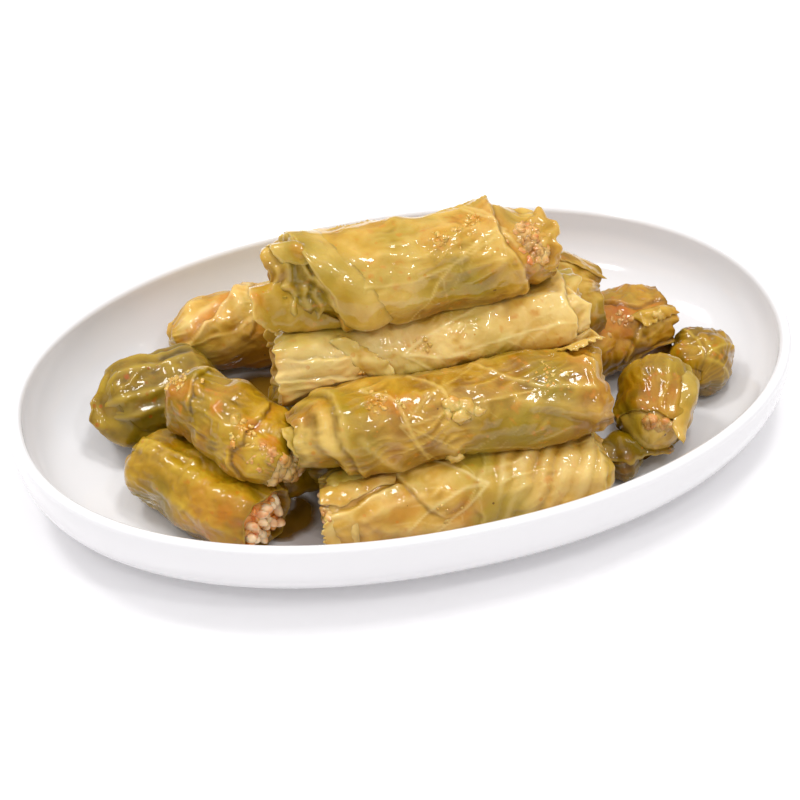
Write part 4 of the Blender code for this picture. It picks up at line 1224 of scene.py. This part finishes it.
leafFlaps = {
    "flap_top_scoop": {"roll": rollTop, "seed": 71, "bite": 0.2, "tone": 0.3, "stain": 0.15, "ruffle": 0.9,
                       "cage": [[(3, 112, -1.0), (-4, 116, 0.5), (-9, 120, 1.5)],
                                [(4, 145, -0.8), (-4, 150, 1.0), (-10.5, 156, 4.5)],
                                [(5, 176, -0.8), (-1, 186, 1.5), (-6, 196, 5.5)],
                                [(10, 196, -0.6), (6, 210, 1.5), (2, 224, 3.8)],
                                [(22, 212, -0.4), (20, 226, 0.6), (18, 238, 1.4)]]},
    "flap_top_edge": {"roll": rollTop, "seed": 120, "bite": 0.1, "tone": 0.2, "ruffle": 0.5, "wave": 6,
                      "cage": [[(15, 40, -0.6), (10, 42, 0.7), (5, 44, 1.2)],
                               [(17, 80, -0.6), (12, 80, 0.9), (6.5, 80, 1.6)],
                               [(19, 108, -0.6), (13, 106, 1.0), (7.5, 106, 1.8)],
                               [(24, 140, -0.6), (17, 138, 1.0), (10.5, 136, 2.0)],
                               [(28, 166, -0.6), (21, 163, 1.0), (14, 161, 2.2)],
                               [(32, 198, -0.6), (24, 195, 1.0), (17, 193, 1.8)],
                               [(34, 226, -0.6), (26, 226, 0.6), (20, 226, 1.0)]]},
    "flap_end_leaf": {"roll": leafEndRight, "seed": 123, "bite": 0.15, "tone": 0.9, "ruffle": 1.0, "wave": 5,
                      "cage": [[(-8, 20, 2.0), (-8, 85, 2.5), (-8, 140, 1.0)],
                               [(0, 15, 3.0), (0, 85, 3.6), (0, 150, 3.0)],
                               [(5, 15, 0.8), (5, 85, 1.2), (5, 155, 1.0)],
                               [(10, 15, 2.5), (10, 85, 3.0), (10, 150, 2.6)],
                               [(16, 10, 1.0), (16, 80, 0.4), (16, 150, 1.0)],
                               [(22, 0, -1.0), (22, 70, -2.2), (21, 150, -1.0)]]},
    "flap_top_tongue": {"roll": rollTop, "seed": 74, "bite": 0.1, "tone": 0.25, "ruffle": 0.8,
                        "cage": [[(9, 40, -0.5), (4, 42, 1.0), (0, 44, 0.6)],
                                 [(10, 66, -0.5), (5, 68, 1.8), (-1, 70, 1.6)],
                                 [(11, 92, -0.5), (7, 94, 1.6), (2, 96, 0.6)],
                                 [(12, 112, -0.5), (10, 113, 0.8), (8, 114, 0.2)]]},
    "flap_top_frill": {"roll": rollTop, "seed": 76, "bite": 0.35, "tooth": 2.4, "tone": 0.35, "ruffle": 1.6,
                       "wave": 3.5, "stain": 0.25,
                       "cage": [[(78, 60, -1.5), (82, 60, 0.5), (86, 60, 0.5)],
                                [(78, 110, -1.5), (83, 112, 0.8), (88, 112, 0.0)],
                                [(79, 150, -1.5), (83, 152, 0.6), (87, 155, -0.5)],
                                [(79, 195, -1.5), (83, 195, 0.2), (86, 198, -0.5)]]},
    "flap_upper_hem": {"roll": rollUpper, "seed": 79, "bite": 0.3, "tone": 0.25, "ruffle": 1.2, "wave": 4.0,
                       "cage": [[(84, 168, -0.5), (88, 176, 0.8), (90, 186, 1.6)],
                                [(88, 165, -0.5), (91, 174, 1.0), (93, 186, 2.0)],
                                [(93, 160, -0.5), (95, 170, 0.8), (97, 182, 1.4)]]},
    "flap_upper_over": {"roll": rollUpper, "seed": 126, "bite": 0.45, "tooth": 2.2, "tone": 0.1,
                        "stain": -0.1, "ruffle": 1.2, "wave": 3.5,
                        "cage": [[(12, 108, -0.5), (16, 110, 0.8), (19, 112, 1.0)],
                                 [(16, 130, -0.5), (21, 132, 1.0), (25, 134, 1.6)],
                                 [(19, 152, -0.5), (25, 154, 1.2), (30, 156, 2.0)],
                                 [(22, 172, -0.5), (28, 174, 1.2), (32, 178, 2.0)],
                                 [(24, 192, -0.5), (29, 196, 0.9), (33, 202, 1.2)]]},
    "flap_middle_tip": {"roll": rollMiddle, "seed": 83, "bite": 0.25, "tone": 0.1, "ruffle": 0.8, "wave": 4.0,
                        "stain": 0.1,
                        "cage": [[(76, 62, -0.4), (78, 74, 1.0), (80, 86, 1.8)],
                                 [(82, 58, -0.4), (84, 70, 2.0), (86, 82, 2.6)],
                                 [(88, 54, -0.4), (90, 62, 2.2), (92, 72, 3.2)]]},
    "flap_middle_inner": {"roll": rollMiddle, "seed": 86, "bite": 0.12, "tone": 0.15, "ruffle": 0.5,
                          "cage": [[(2, 70, -2.8), (-6, 72, -1.5), (-9, 78, -1.0)],
                                   [(3, 120, -2.8), (-5, 122, -1.5), (-9, 126, -0.6)],
                                   [(4, 165, -2.8), (-3, 168, -1.5), (-7, 172, -0.6)],
                                   [(8, 205, -2.8), (2, 208, -1.5), (-2, 214, -0.6)]]},
    "flap_front_upper": {"roll": rollFront, "seed": 89, "bite": 0.12, "tone": 0.35, "ruffle": 0.6,
                         "stain": 0.3,
                         "cage": [[(-3, 92, -0.6), (-3.6, 106, 0.4), (-4.0, 120, 0.9)],
                                  [(4, 88, -0.6), (3, 108, 0.6), (2, 128, 0.9)],
                                  [(12, 86, -0.6), (11, 100, 0.6), (10, 116, 0.7)],
                                  [(20, 84, -0.6), (20, 96, 0.4), (19, 108, 0.4)]]},
    "flap_front_lower": {"roll": rollFront, "seed": 92, "bite": 0.3, "tooth": 2.0, "tone": 0.2, "ruffle": 0.6,
                         "cage": [[(6, 130, 0.2), (0, 138, 1.0), (-4, 146, 1.2)],
                                  [(6, 160, 0.2), (0, 162, 1.2), (-5, 164, 1.4)],
                                  [(6, 188, -0.2), (0, 190, 0.6), (-4, 192, 0.8)]]},
    "flap_gap_leaf": {"roll": rollUnderFront, "seed": 110, "bite": 0.2, "tone": 0.75, "ruffle": 1.6,
                      "wave": 6,
                      "cage": [[(3, 130, -1.0), (-5, 140, -1.0), (-14, 160, -3.0)],
                               [(3, 170, -1.0), (-6, 180, 1.5), (-16, 195, 2.0)],
                               [(4, 205, -1.0), (-5, 212, 4.0), (-14, 220, 6.0)],
                               [(8, 235, -1.0), (2, 238, 3.0), (-6, 240, 4.0)]]},
    "flap_dark_hem": {"roll": rollLeftDark, "seed": 113, "bite": 0.2, "tone": 0.35, "ruffle": 1.2, "wave": 5,
                      "cage": [[(6, 64, -0.6), (3, 68, 0.2), (0, 74, -0.4)],
                               [(4, 108, -0.6), (-1, 112, 0.8), (-4, 118, 0.2)],
                               [(6, 150, -0.6), (-1, 158, 1.6), (-5, 168, 1.6)],
                               [(12, 180, -0.6), (5, 192, 2.5), (0, 204, 3.0)],
                               [(24, 188, -0.6), (19, 202, 1.5), (16, 214, 2.0)]]},
    "flap_right_strip": {"roll": rollRightOpen, "seed": 95, "bite": 0.15, "tone": 0.2, "ruffle": 0.6,
                         "colour": "yellow",
                         "cage": [[(24, 122, -0.5), (25, 134, 0.8), (25, 146, 0.8)],
                                  [(12, 122, -0.5), (12, 138, 1.4), (12, 154, 1.0)],
                                  [(1, 128, -0.5), (0, 144, 1.6), (0, 160, 1.2)],
                                  [(-5, 134, -1.5), (-8, 150, 0.4), (-8, 166, 0.2)]]},
    "flap_back_corner": {"roll": rollBack, "seed": 98, "bite": 0.15, "tone": 0.45, "ruffle": 0.5,
                         "cage": [[(76, 60, -0.4), (78, 74, 0.6), (79, 90, 0.8)],
                                  [(84, 58, -0.4), (86, 74, 0.8), (88, 92, 1.0)],
                                  [(91, 60, -0.4), (94, 76, 0.6), (96, 94, 0.6)]]},
    "flap_brown_fold": {"roll": rollRightBrown, "seed": 101, "bite": 0.2, "tone": 0.2, "ruffle": 1.0,
                        "wave": 4,
                        "cage": [[(60, 118, -0.4), (63, 128, 1.0), (64, 140, 1.2)],
                                 [(66, 112, -0.4), (69, 122, 1.4), (71, 136, 1.6)],
                                 [(71, 108, -0.4), (74, 118, 0.8), (77, 130, 0.6)]]},
}
for name, flap in leafFlaps.items():
    makeFlap(name, flap)
print("leaf flaps made:", len(leafFlaps))


# fillings: a lumpy core through the wrap, minced lumps on it and rice grains where they show
def lumpShape(size, draw, lumpy):
    # a small uneven ball, as points and faces
    rings, around = 7, 10
    points = [(0, 0, 1.0)]
    for i in range(1, rings):
        polar = math.pi * i / rings
        for j in range(around):
            turn = 2 * math.pi * j / around
            points.append((math.sin(polar) * math.cos(turn), math.sin(polar) * math.sin(turn),
                           math.cos(polar)))
    points.append((0, 0, -1.0))
    points = np.array(points)
    shift = draw.uniform(0, 900, 3)
    swell = 1 + lumpy * softNoise(points * 2.0 + shift, 1.6, 2)
    points = points * swell[:, None] * np.asarray(size)
    faces = [(0, 1 + j, 1 + (j + 1) % around) for j in range(around)]
    for i in range(rings - 2):
        a = 1 + i * around
        for j in range(around):
            k = (j + 1) % around
            faces.append((a + j, a + around + j, a + around + k, a + k))
    last = 1 + (rings - 2) * around
    faces += [(last + j, last + around, last + (j + 1) % around) for j in range(around)]
    return points, faces


def turnedAxes(direction, draw):
    ahead = np.asarray(direction, float)
    ahead = ahead / np.linalg.norm(ahead)
    spin = draw.normal(size=3)
    across = np.cross(ahead, spin)
    across /= np.linalg.norm(across)
    return np.stack([across, np.cross(ahead, across), ahead])


class Heap:
    # many small shapes joined in one mesh
    def __init__(self):
        self.points = []
        self.faces = []
        self.count = 0

    def add(self, points, faces):
        self.faces += [tuple(k + self.count for k in f) for f in faces]
        self.points.append(points)
        self.count += len(points)

    def addLump(self, place, size, direction, draw, lumpy=0.35):
        points, faces = lumpShape(size, draw, lumpy)
        self.add(points @ turnedAxes(direction, draw) + place, faces)

    def finish(self, name, material, slot):
        return finishPiece(name, np.vstack(self.points), self.faces, material)


# end 0 is the left one; depth is how far the filling lies behind the rim, share its part of the radius
fillings = {
    "filling_left_open": {"roll": rollLeftOpen, "end": 1, "depth": 1.6, "seed": 201, "grains": 19,
                          "lumps": 40, "lump": 1.5, "share": 0.84, "proud": 0.6, "look": sauceLook},
    "filling_left_over": {"roll": rollLeftOver, "end": 1, "depth": 0.0, "seed": 207, "grains": 6, "lumps": 52,
                          "lump": 2.6, "share": 0.94, "proud": 1.6, "look": fatLook},
    "filling_right_open": {"roll": rollRightOpen, "end": 0, "depth": 0.2, "seed": 213, "grains": 2,
                           "lumps": 16,
                           "lump": 2.2, "share": 0.93, "proud": 2.4, "dome": 8.0, "leaf": "yellow",
                           "turns": (70, 150), "lift": 3.0},
    "filling_front": {"roll": rollFront, "end": 0, "depth": 2.6, "seed": 219, "grains": 6, "lumps": 34,
                      "lump": 2.2, "share": 0.86, "proud": 1.4},
    "filling_top": {"roll": rollTop, "end": 1, "depth": 1.0, "seed": 226, "grains": 4, "lumps": 40,
                    "lump": 2.4, "share": 0.9, "proud": 1.4},
}


coreSizes = {"columns": 64, "runRings": 14, "domeRings": 13, "run": 0.82, "narrow": 0.62, "dome": 0.8}
riceSizes = {"thick": 1.6, "wide": 1.5, "long": 2.7}
goldenTurn = 2.39996  # the turn from seed to seed in a sunflower, in radians


def rollMouth(roll, end):
    # the open end that a filling shows in: its middle, the way out of it and its rim
    left, along, side, up, length = rollAxes(roll)
    rim = roll["skin"][-1 if end else 0]
    return {"hub": left + along * (length if end else 0), "along": along, "side": side, "up": up,
            "length": length, "ahead": along * (1 if end else -1), "rim": rim,
            "turns": np.linspace(0, 2 * math.pi, len(rim), endpoint=False)}


def mouthRay(mouth, turn):
    # the way from the axis to the rim, and how far the rim is
    out = mouth["side"] * math.cos(turn) + mouth["up"] * math.sin(turn)
    return out, float(np.interp(turn % (2 * math.pi), mouth["turns"], mouth["rim"], period=2 * math.pi))


def coreSkin(mouth, plan):
    hub, ahead, columns = mouth["hub"], mouth["ahead"], coreSizes["columns"]
    angles = np.linspace(0, 2 * math.pi, columns, endpoint=False)
    reach = np.interp(angles, mouth["turns"], mouth["rim"], period=2 * math.pi)
    ray = mouth["side"] * np.cos(angles)[:, None] + mouth["up"] * np.sin(angles)[:, None]
    rings = []
    back = mouth["length"] * coreSizes["run"]
    for step in np.linspace(0, 1, coreSizes["runRings"]):
        at = hub - ahead * (plan["depth"] + back * (1 - step))
        width = reach * coreSizes["narrow"] * (0.6 + 0.4 * smoothStep(step * 6))
        rings.append(at + ray * width[:, None])
    dome = plan.get("dome", coreSizes["dome"])
    for k in range(1, coreSizes["domeRings"]):
        share = math.cos(math.pi / 2 * k / coreSizes["domeRings"])
        forth = dome * (1 - share ** 2) - plan["depth"]
        flat = hub + ahead * forth + ray * (reach * plan["share"] * share)[:, None]
        rings.append(flat + ahead * (0.5 * softNoise(flat, 2.6, plan["seed"]))[:, None])
    points = np.vstack([rings[0].mean(0)[None]] + rings + [rings[-1].mean(0)[None]])
    faces = tubeFaces(len(rings), columns)
    return points, faces if plan["end"] else [tuple(reversed(f)) for f in faces]


def addLumps(core, mouth, plan, draw):
    first, last = (math.radians(a) for a in plan.get("turns", (0, 360)))
    for _ in range(plan["lumps"]):
        turn = draw.uniform(first, last)
        share = math.sqrt(draw.uniform(0.4 if plan.get("leaf") else 0, 1)) * plan["share"]
        out, radius = mouthRay(mouth, turn)
        size = plan["lump"] * draw.uniform(0.55, 1.15)
        rise = draw.uniform(-0.4, 1.0) * plan["proud"] * (1 - share ** 3) + plan.get("lift", 0.0)
        place = mouth["hub"] + out * (radius - 1.6) * share + mouth["ahead"] * (rise - plan["depth"] * 0.5)
        core.addLump(place, (size, size * draw.uniform(0.7, 1.0), size * draw.uniform(0.6, 0.9)),
                     mouth["along"] + out * draw.normal(0, 0.6), draw)


def addRice(rice, mouth, count, draw):
    for k in range(count):
        share = math.sqrt((k + 0.5) / count) * 0.80
        out, radius = mouthRay(mouth, goldenTurn * k + draw.normal(0, 0.25))
        lean = mouth["ahead"] + out * draw.normal(0, 0.3)
        lean = lean + np.cross(mouth["along"], out) * draw.normal(0, 0.3)
        place = mouth["hub"] + out * (radius - 1.7) * share
        place = place + mouth["ahead"] * (draw.uniform(-1.0, 0.4) - 0.3)
        halfSizes = (riceSizes["thick"] * draw.uniform(0.9, 1.1), riceSizes["wide"],
                     riceSizes["long"] * draw.uniform(0.85, 1.1))
        rice.addLump(place, halfSizes, lean, draw, 0.08)


def makeFilling(name, plan):
    mouth = rollMouth(plan["roll"], plan["end"])
    draw = np.random.default_rng(plan["seed"])
    core = Heap()
    points, faces = coreSkin(mouth, plan)
    if plan.get("leaf"):
        inner = finishPiece(name + "_inner_leaf", points, faces, leafMaterials[plan["leaf"]])
        tone = 0.3 + 0.3 * softNoise(points, 7, plan["seed"])
        veins = 0.5 * creaseNoise(points * [1, 1, 0.3], 5, plan["seed"]) ** 4
        paintMasks(inner, np.stack([tone, 0 * tone, veins, 0 * tone], -1))
    else:
        core.add(points, faces)
    addLumps(core, mouth, plan, draw)
    piece = core.finish(name + "_core", plan.get("look", meatLook), "filling")
    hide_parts(name)
    rice = Heap()
    addRice(rice, mouth, plan["grains"], draw)
    rice.finish(name + "_rice", riceLook, "filling")


for name, plan in fillings.items():
    makeFilling(name, plan)
print("fillings made:", len(fillings))


# crumbs and minced lumps that lie on the leaves: (roll, along, degrees, spread, count, largest size)
crumbPlan = [
    (rollMiddle, 0.5, 80, 3.4, 60, 1.5), (rollMiddle, 19, 104, 4.0, 26, 1.1),
    (rollMiddle, 25, 112, 2.5, 12, 0.9),
    (rollUpper, 24, 158, 3.6, 46, 1.4), (rollUpper, 27, 174, 3.0, 30, 1.3),
    (rollUpper, 40, 140, 3.0, 12, 0.9),
    (rollTop, 50, 118, 5.0, 18, 1.1), (rollTop, 60, 100, 4.0, 16, 1.0), (rollMiddle, 70, 108, 7.0, 26, 0.8),
    (rollFront, 34, 160, 5.0, 10, 0.9), (rollLeftOver, 3, 120, 5.0, 26, 1.3),
    (rollLeftOver, 33, 116, 4.0, 16, 1.2),
]
mincePlan = [
    (rollTop, 75, 128, 4.2, 26, 2.4), (rollTop, 79, 150, 4.2, 22, 2.4), (rollTop, 78, 100, 3.6, 12, 2.0),
    (rollFront, -1.5, 134, 2.4, 16, 2.0), (rollLeftOver, 43, 118, 3.4, 14, 1.8),
    (rollLeftOver, 41, 140, 3.0, 10, 1.6), (rollRightBrown, 57, 122, 4.0, 12, 1.8),
]


def scatterLumps(name, plan, material, seed, lumpy):
    draw = np.random.default_rng(seed)
    heap = Heap()
    for roll, u0, turn0, spread, count, largest in plan:
        meanRadius = float(roll["skin"].mean())
        for _ in range(count):
            u = u0 + draw.normal(0, spread * 0.5)
            turn = turn0 + math.degrees(draw.normal(0, spread * 0.5) / meanRadius)
            size = largest * draw.uniform(0.35, 1.0) ** 1.3
            place, out = skinPoint(roll, u, turn, -0.3 * size)
            halfSizes = (size, size * draw.uniform(0.7, 1.0), size * draw.uniform(0.55, 0.85))
            heap.addLump(place, halfSizes, out, draw, lumpy)
    heap.finish(name, material, "filling")


# single soft blobs on the leaves: (roll, along, degrees, half sizes with the thickness last)
pulpPlan = [
    (rollMiddle, 41, 126, (2.4, 3.4, 1.3)), (rollMiddle, 44.5, 132, (3.4, 2.4, 1.4)),
    (rollMiddle, 42, 140, (2.6, 2.2, 1.2)), (rollMiddle, 47.5, 138, (2.4, 1.8, 1.1)),
    (rollMiddle, 38.8, 134, (1.6, 2.4, 1.1)), (rollMiddle, 39.5, 186, (1.8, 2.6, 1.5)),
    (rollMiddle, 38.8, 198, (1.5, 2.0, 1.3)), (rollLeftOver, 28, 112, (2.6, 2.0, 1.2)),
    (rollRightBrown, 69, 128, (2.2, 2.0, 1.4)),
]


def placePulp(plan):
    draw = np.random.default_rng(311)
    heap = Heap()
    for roll, u, turn, size in plan:
        place, out = skinPoint(roll, u, turn, -0.5)
        heap.addLump(place, size, out, draw, 0.6)
    heap.finish("pulp_blobs", pulpLook, "filling")


placePulp(pulpPlan)
scatterLumps("crumbs_golden", crumbPlan, crumbLook, 301, 0.9)
scatterLumps("minced_lumps", mincePlan, meatLook, 307, 0.6)
print("crumbs made")


# broth on the platter floor: (x, y, half length, half width, turn in degrees)
brothPlan = [(78, -33, 25, 15, 24), (62, -43, 16, 10, 6), (-50, -30, 14, 13, -60), (100, -12, 12, 9, 50),
             (5, -35, 50, 22, 0), (-40, 18, 34, 20, 10)]
poolSizes = {"thick": 0.35, "lower": 0.02, "sunk": 0.5}  # each next pool is a little lower, its rim sunk


def makeBroth(plan):
    # each pool is a closed skin that dips into the porcelain at its rim
    points, faces, depths = [], [], []
    columns, rings = 80, 14
    turn = np.linspace(0, 2 * math.pi, columns, endpoint=False)
    for index, (x, y, halfLength, halfWidth, lean) in enumerate(plan):
        circle = np.stack([np.cos(turn) * 10, np.sin(turn) * 10, np.full(columns, index * 9.0)], -1)
        rough = 1 + 0.22 * softNoise(circle, 6, 5 + index) + 0.07 * softNoise(circle, 2, 9 + index)
        base = len(points)
        tilt = math.radians(lean)
        floor = platterSizes["floorTop"] + 0.02
        thick = poolSizes["thick"] - poolSizes["lower"] * index
        points.append((x, y, floor - poolSizes["sunk"]))
        depths.append(0.0)
        for k in range(rings + 1, 0, -1):
            share = min(k / rings, 1.0)
            across = np.cos(turn) * halfLength * rough * share
            over = np.sin(turn) * halfWidth * rough * share
            rise = floor + thick * (1 - share ** 6) - (poolSizes["sunk"] if k > rings else 0.0)
            for a, b in zip(across, over):
                points.append((x + a * math.cos(tilt) - b * math.sin(tilt),
                               y + a * math.sin(tilt) + b * math.cos(tilt), rise))
                depths.append(float(smoothStep((1 - share) * 3.2)))
        points.append((x, y, floor + thick))
        depths.append(1.0)
        faces += [tuple(base + k for k in face) for face in tubeFaces(rings + 1, columns)]
    piece = finishPiece("broth_pools", points, faces, brothMaterial(brothLook))
    layer = piece.data.attributes.new("brothDepth", "FLOAT", "POINT")
    layer.data.foreach_set("value", np.array(depths, np.float32))


makeBroth(brothPlan)
print("broth made")


# floor, light and camera: the pale floor glows a little, so that shadows on it stay light
floorPlan = {"size": 8.0, "colour": (0.84, 0.83, 0.84), "glow": (1.0, 0.985, 1.0), "glowStrength": 0.09,
             "roughness": 0.9, "specular": 0.1}


def makeFloor(plan):
    bpy.ops.mesh.primitive_grid_add(x_subdivisions=2, y_subdivisions=2, size=plan["size"],
                                    location=(0, 0, 0))
    floor = bpy.context.object
    floor.name = "floor"
    material, _, shader = newMaterial("floor_pale")
    shader.inputs["Base Color"].default_value = (*plan["colour"], 1)
    shader.inputs["Emission Color"].default_value = (*plan["glow"], 1)
    shader.inputs["Emission Strength"].default_value = plan["glowStrength"]
    shader.inputs["Roughness"].default_value = plan["roughness"]
    shader.inputs["Specular IOR Level"].default_value = plan["specular"]
    floor.data.materials.append(material)


lightPlan = {
    "overhead": {"place": (0.20, 0.02, 1.05), "size": (0.22, 0.16), "power": 2.8},
    "frontSmall": {"place": (0.26, -0.46, 0.96), "size": (0.08, 0.12), "power": 1.0},
    "leftSmall": {"place": (-0.40, -0.44, 0.90), "size": (0.07, 0.11), "power": 0.8},
    "backLeft": {"place": (-0.42, 0.36, 0.95), "size": (0.22, 0.22), "power": 3.0},
}
roomLight = {"sky": 0.95, "horizon": 0.16, "mirrored": 0.5, "aim": (0, 0, 0.03),
             "colour": (1.0, 0.995, 1.0), "rise": (0.05, 0.42)}


def makeLights(plan, room):
    for name, light in plan.items():
        data = bpy.data.lights.new(name, "AREA")
        data.shape = "RECTANGLE"
        data.size, data.size_y = light["size"]
        data.energy = light["power"]
        item = bpy.data.objects.new(name, data)
        item.location = light["place"]
        aim = Vector(room["aim"]) - Vector(light["place"])
        item.rotation_euler = aim.to_track_quat("-Z", "Y").to_euler()
        bpy.context.scene.collection.objects.link(item)
    world = bpy.data.worlds.new("softRoom")
    world.use_nodes = True
    tree = world.node_tree
    split = tree.nodes.new("ShaderNodeSeparateXYZ")
    tree.links.new(tree.nodes.new("ShaderNodeTexCoord").outputs["Generated"], split.inputs[0])
    strength = rangeNode(tree, split.outputs[2], *room["rise"], room["horizon"], room["sky"])
    # wet skins mirror the lamps more than the room
    mirrored = rangeNode(tree, tree.nodes.new("ShaderNodeLightPath").outputs["Is Glossy Ray"], 0, 1, 1,
                         room["mirrored"])
    strength = mathNode(tree, "MULTIPLY", strength, mirrored)
    background = tree.nodes["Background"]
    background.inputs[0].default_value = (*room["colour"], 1)
    tree.links.new(strength, background.inputs[1])
    bpy.context.scene.world = world


# degrees from north and below level; the focal length in pixels of the square frame
cameraPlan = {"place": (-0.14791, -0.50813, 0.49003), "heading": 15.97, "down": 42.0, "focal": 2239.2,
              "frame": 800, "sensor": 36.0}


def makeCamera(plan):
    data = bpy.data.cameras.new("photoCamera")
    data.sensor_width = plan["sensor"]
    data.lens = plan["sensor"] * plan["focal"] / plan["frame"]
    camera = bpy.data.objects.new("photoCamera", data)
    camera.location = plan["place"]
    camera.rotation_euler = (math.radians(90 - plan["down"]), 0, math.radians(-plan["heading"]))
    bpy.context.scene.collection.objects.link(camera)
    bpy.context.scene.camera = camera


makeFloor(floorPlan)
makeLights(lightPlan, roomLight)
makeCamera(cameraPlan)
bpy.context.scene.view_settings.view_transform = "Standard"
print("floor, light and camera made")
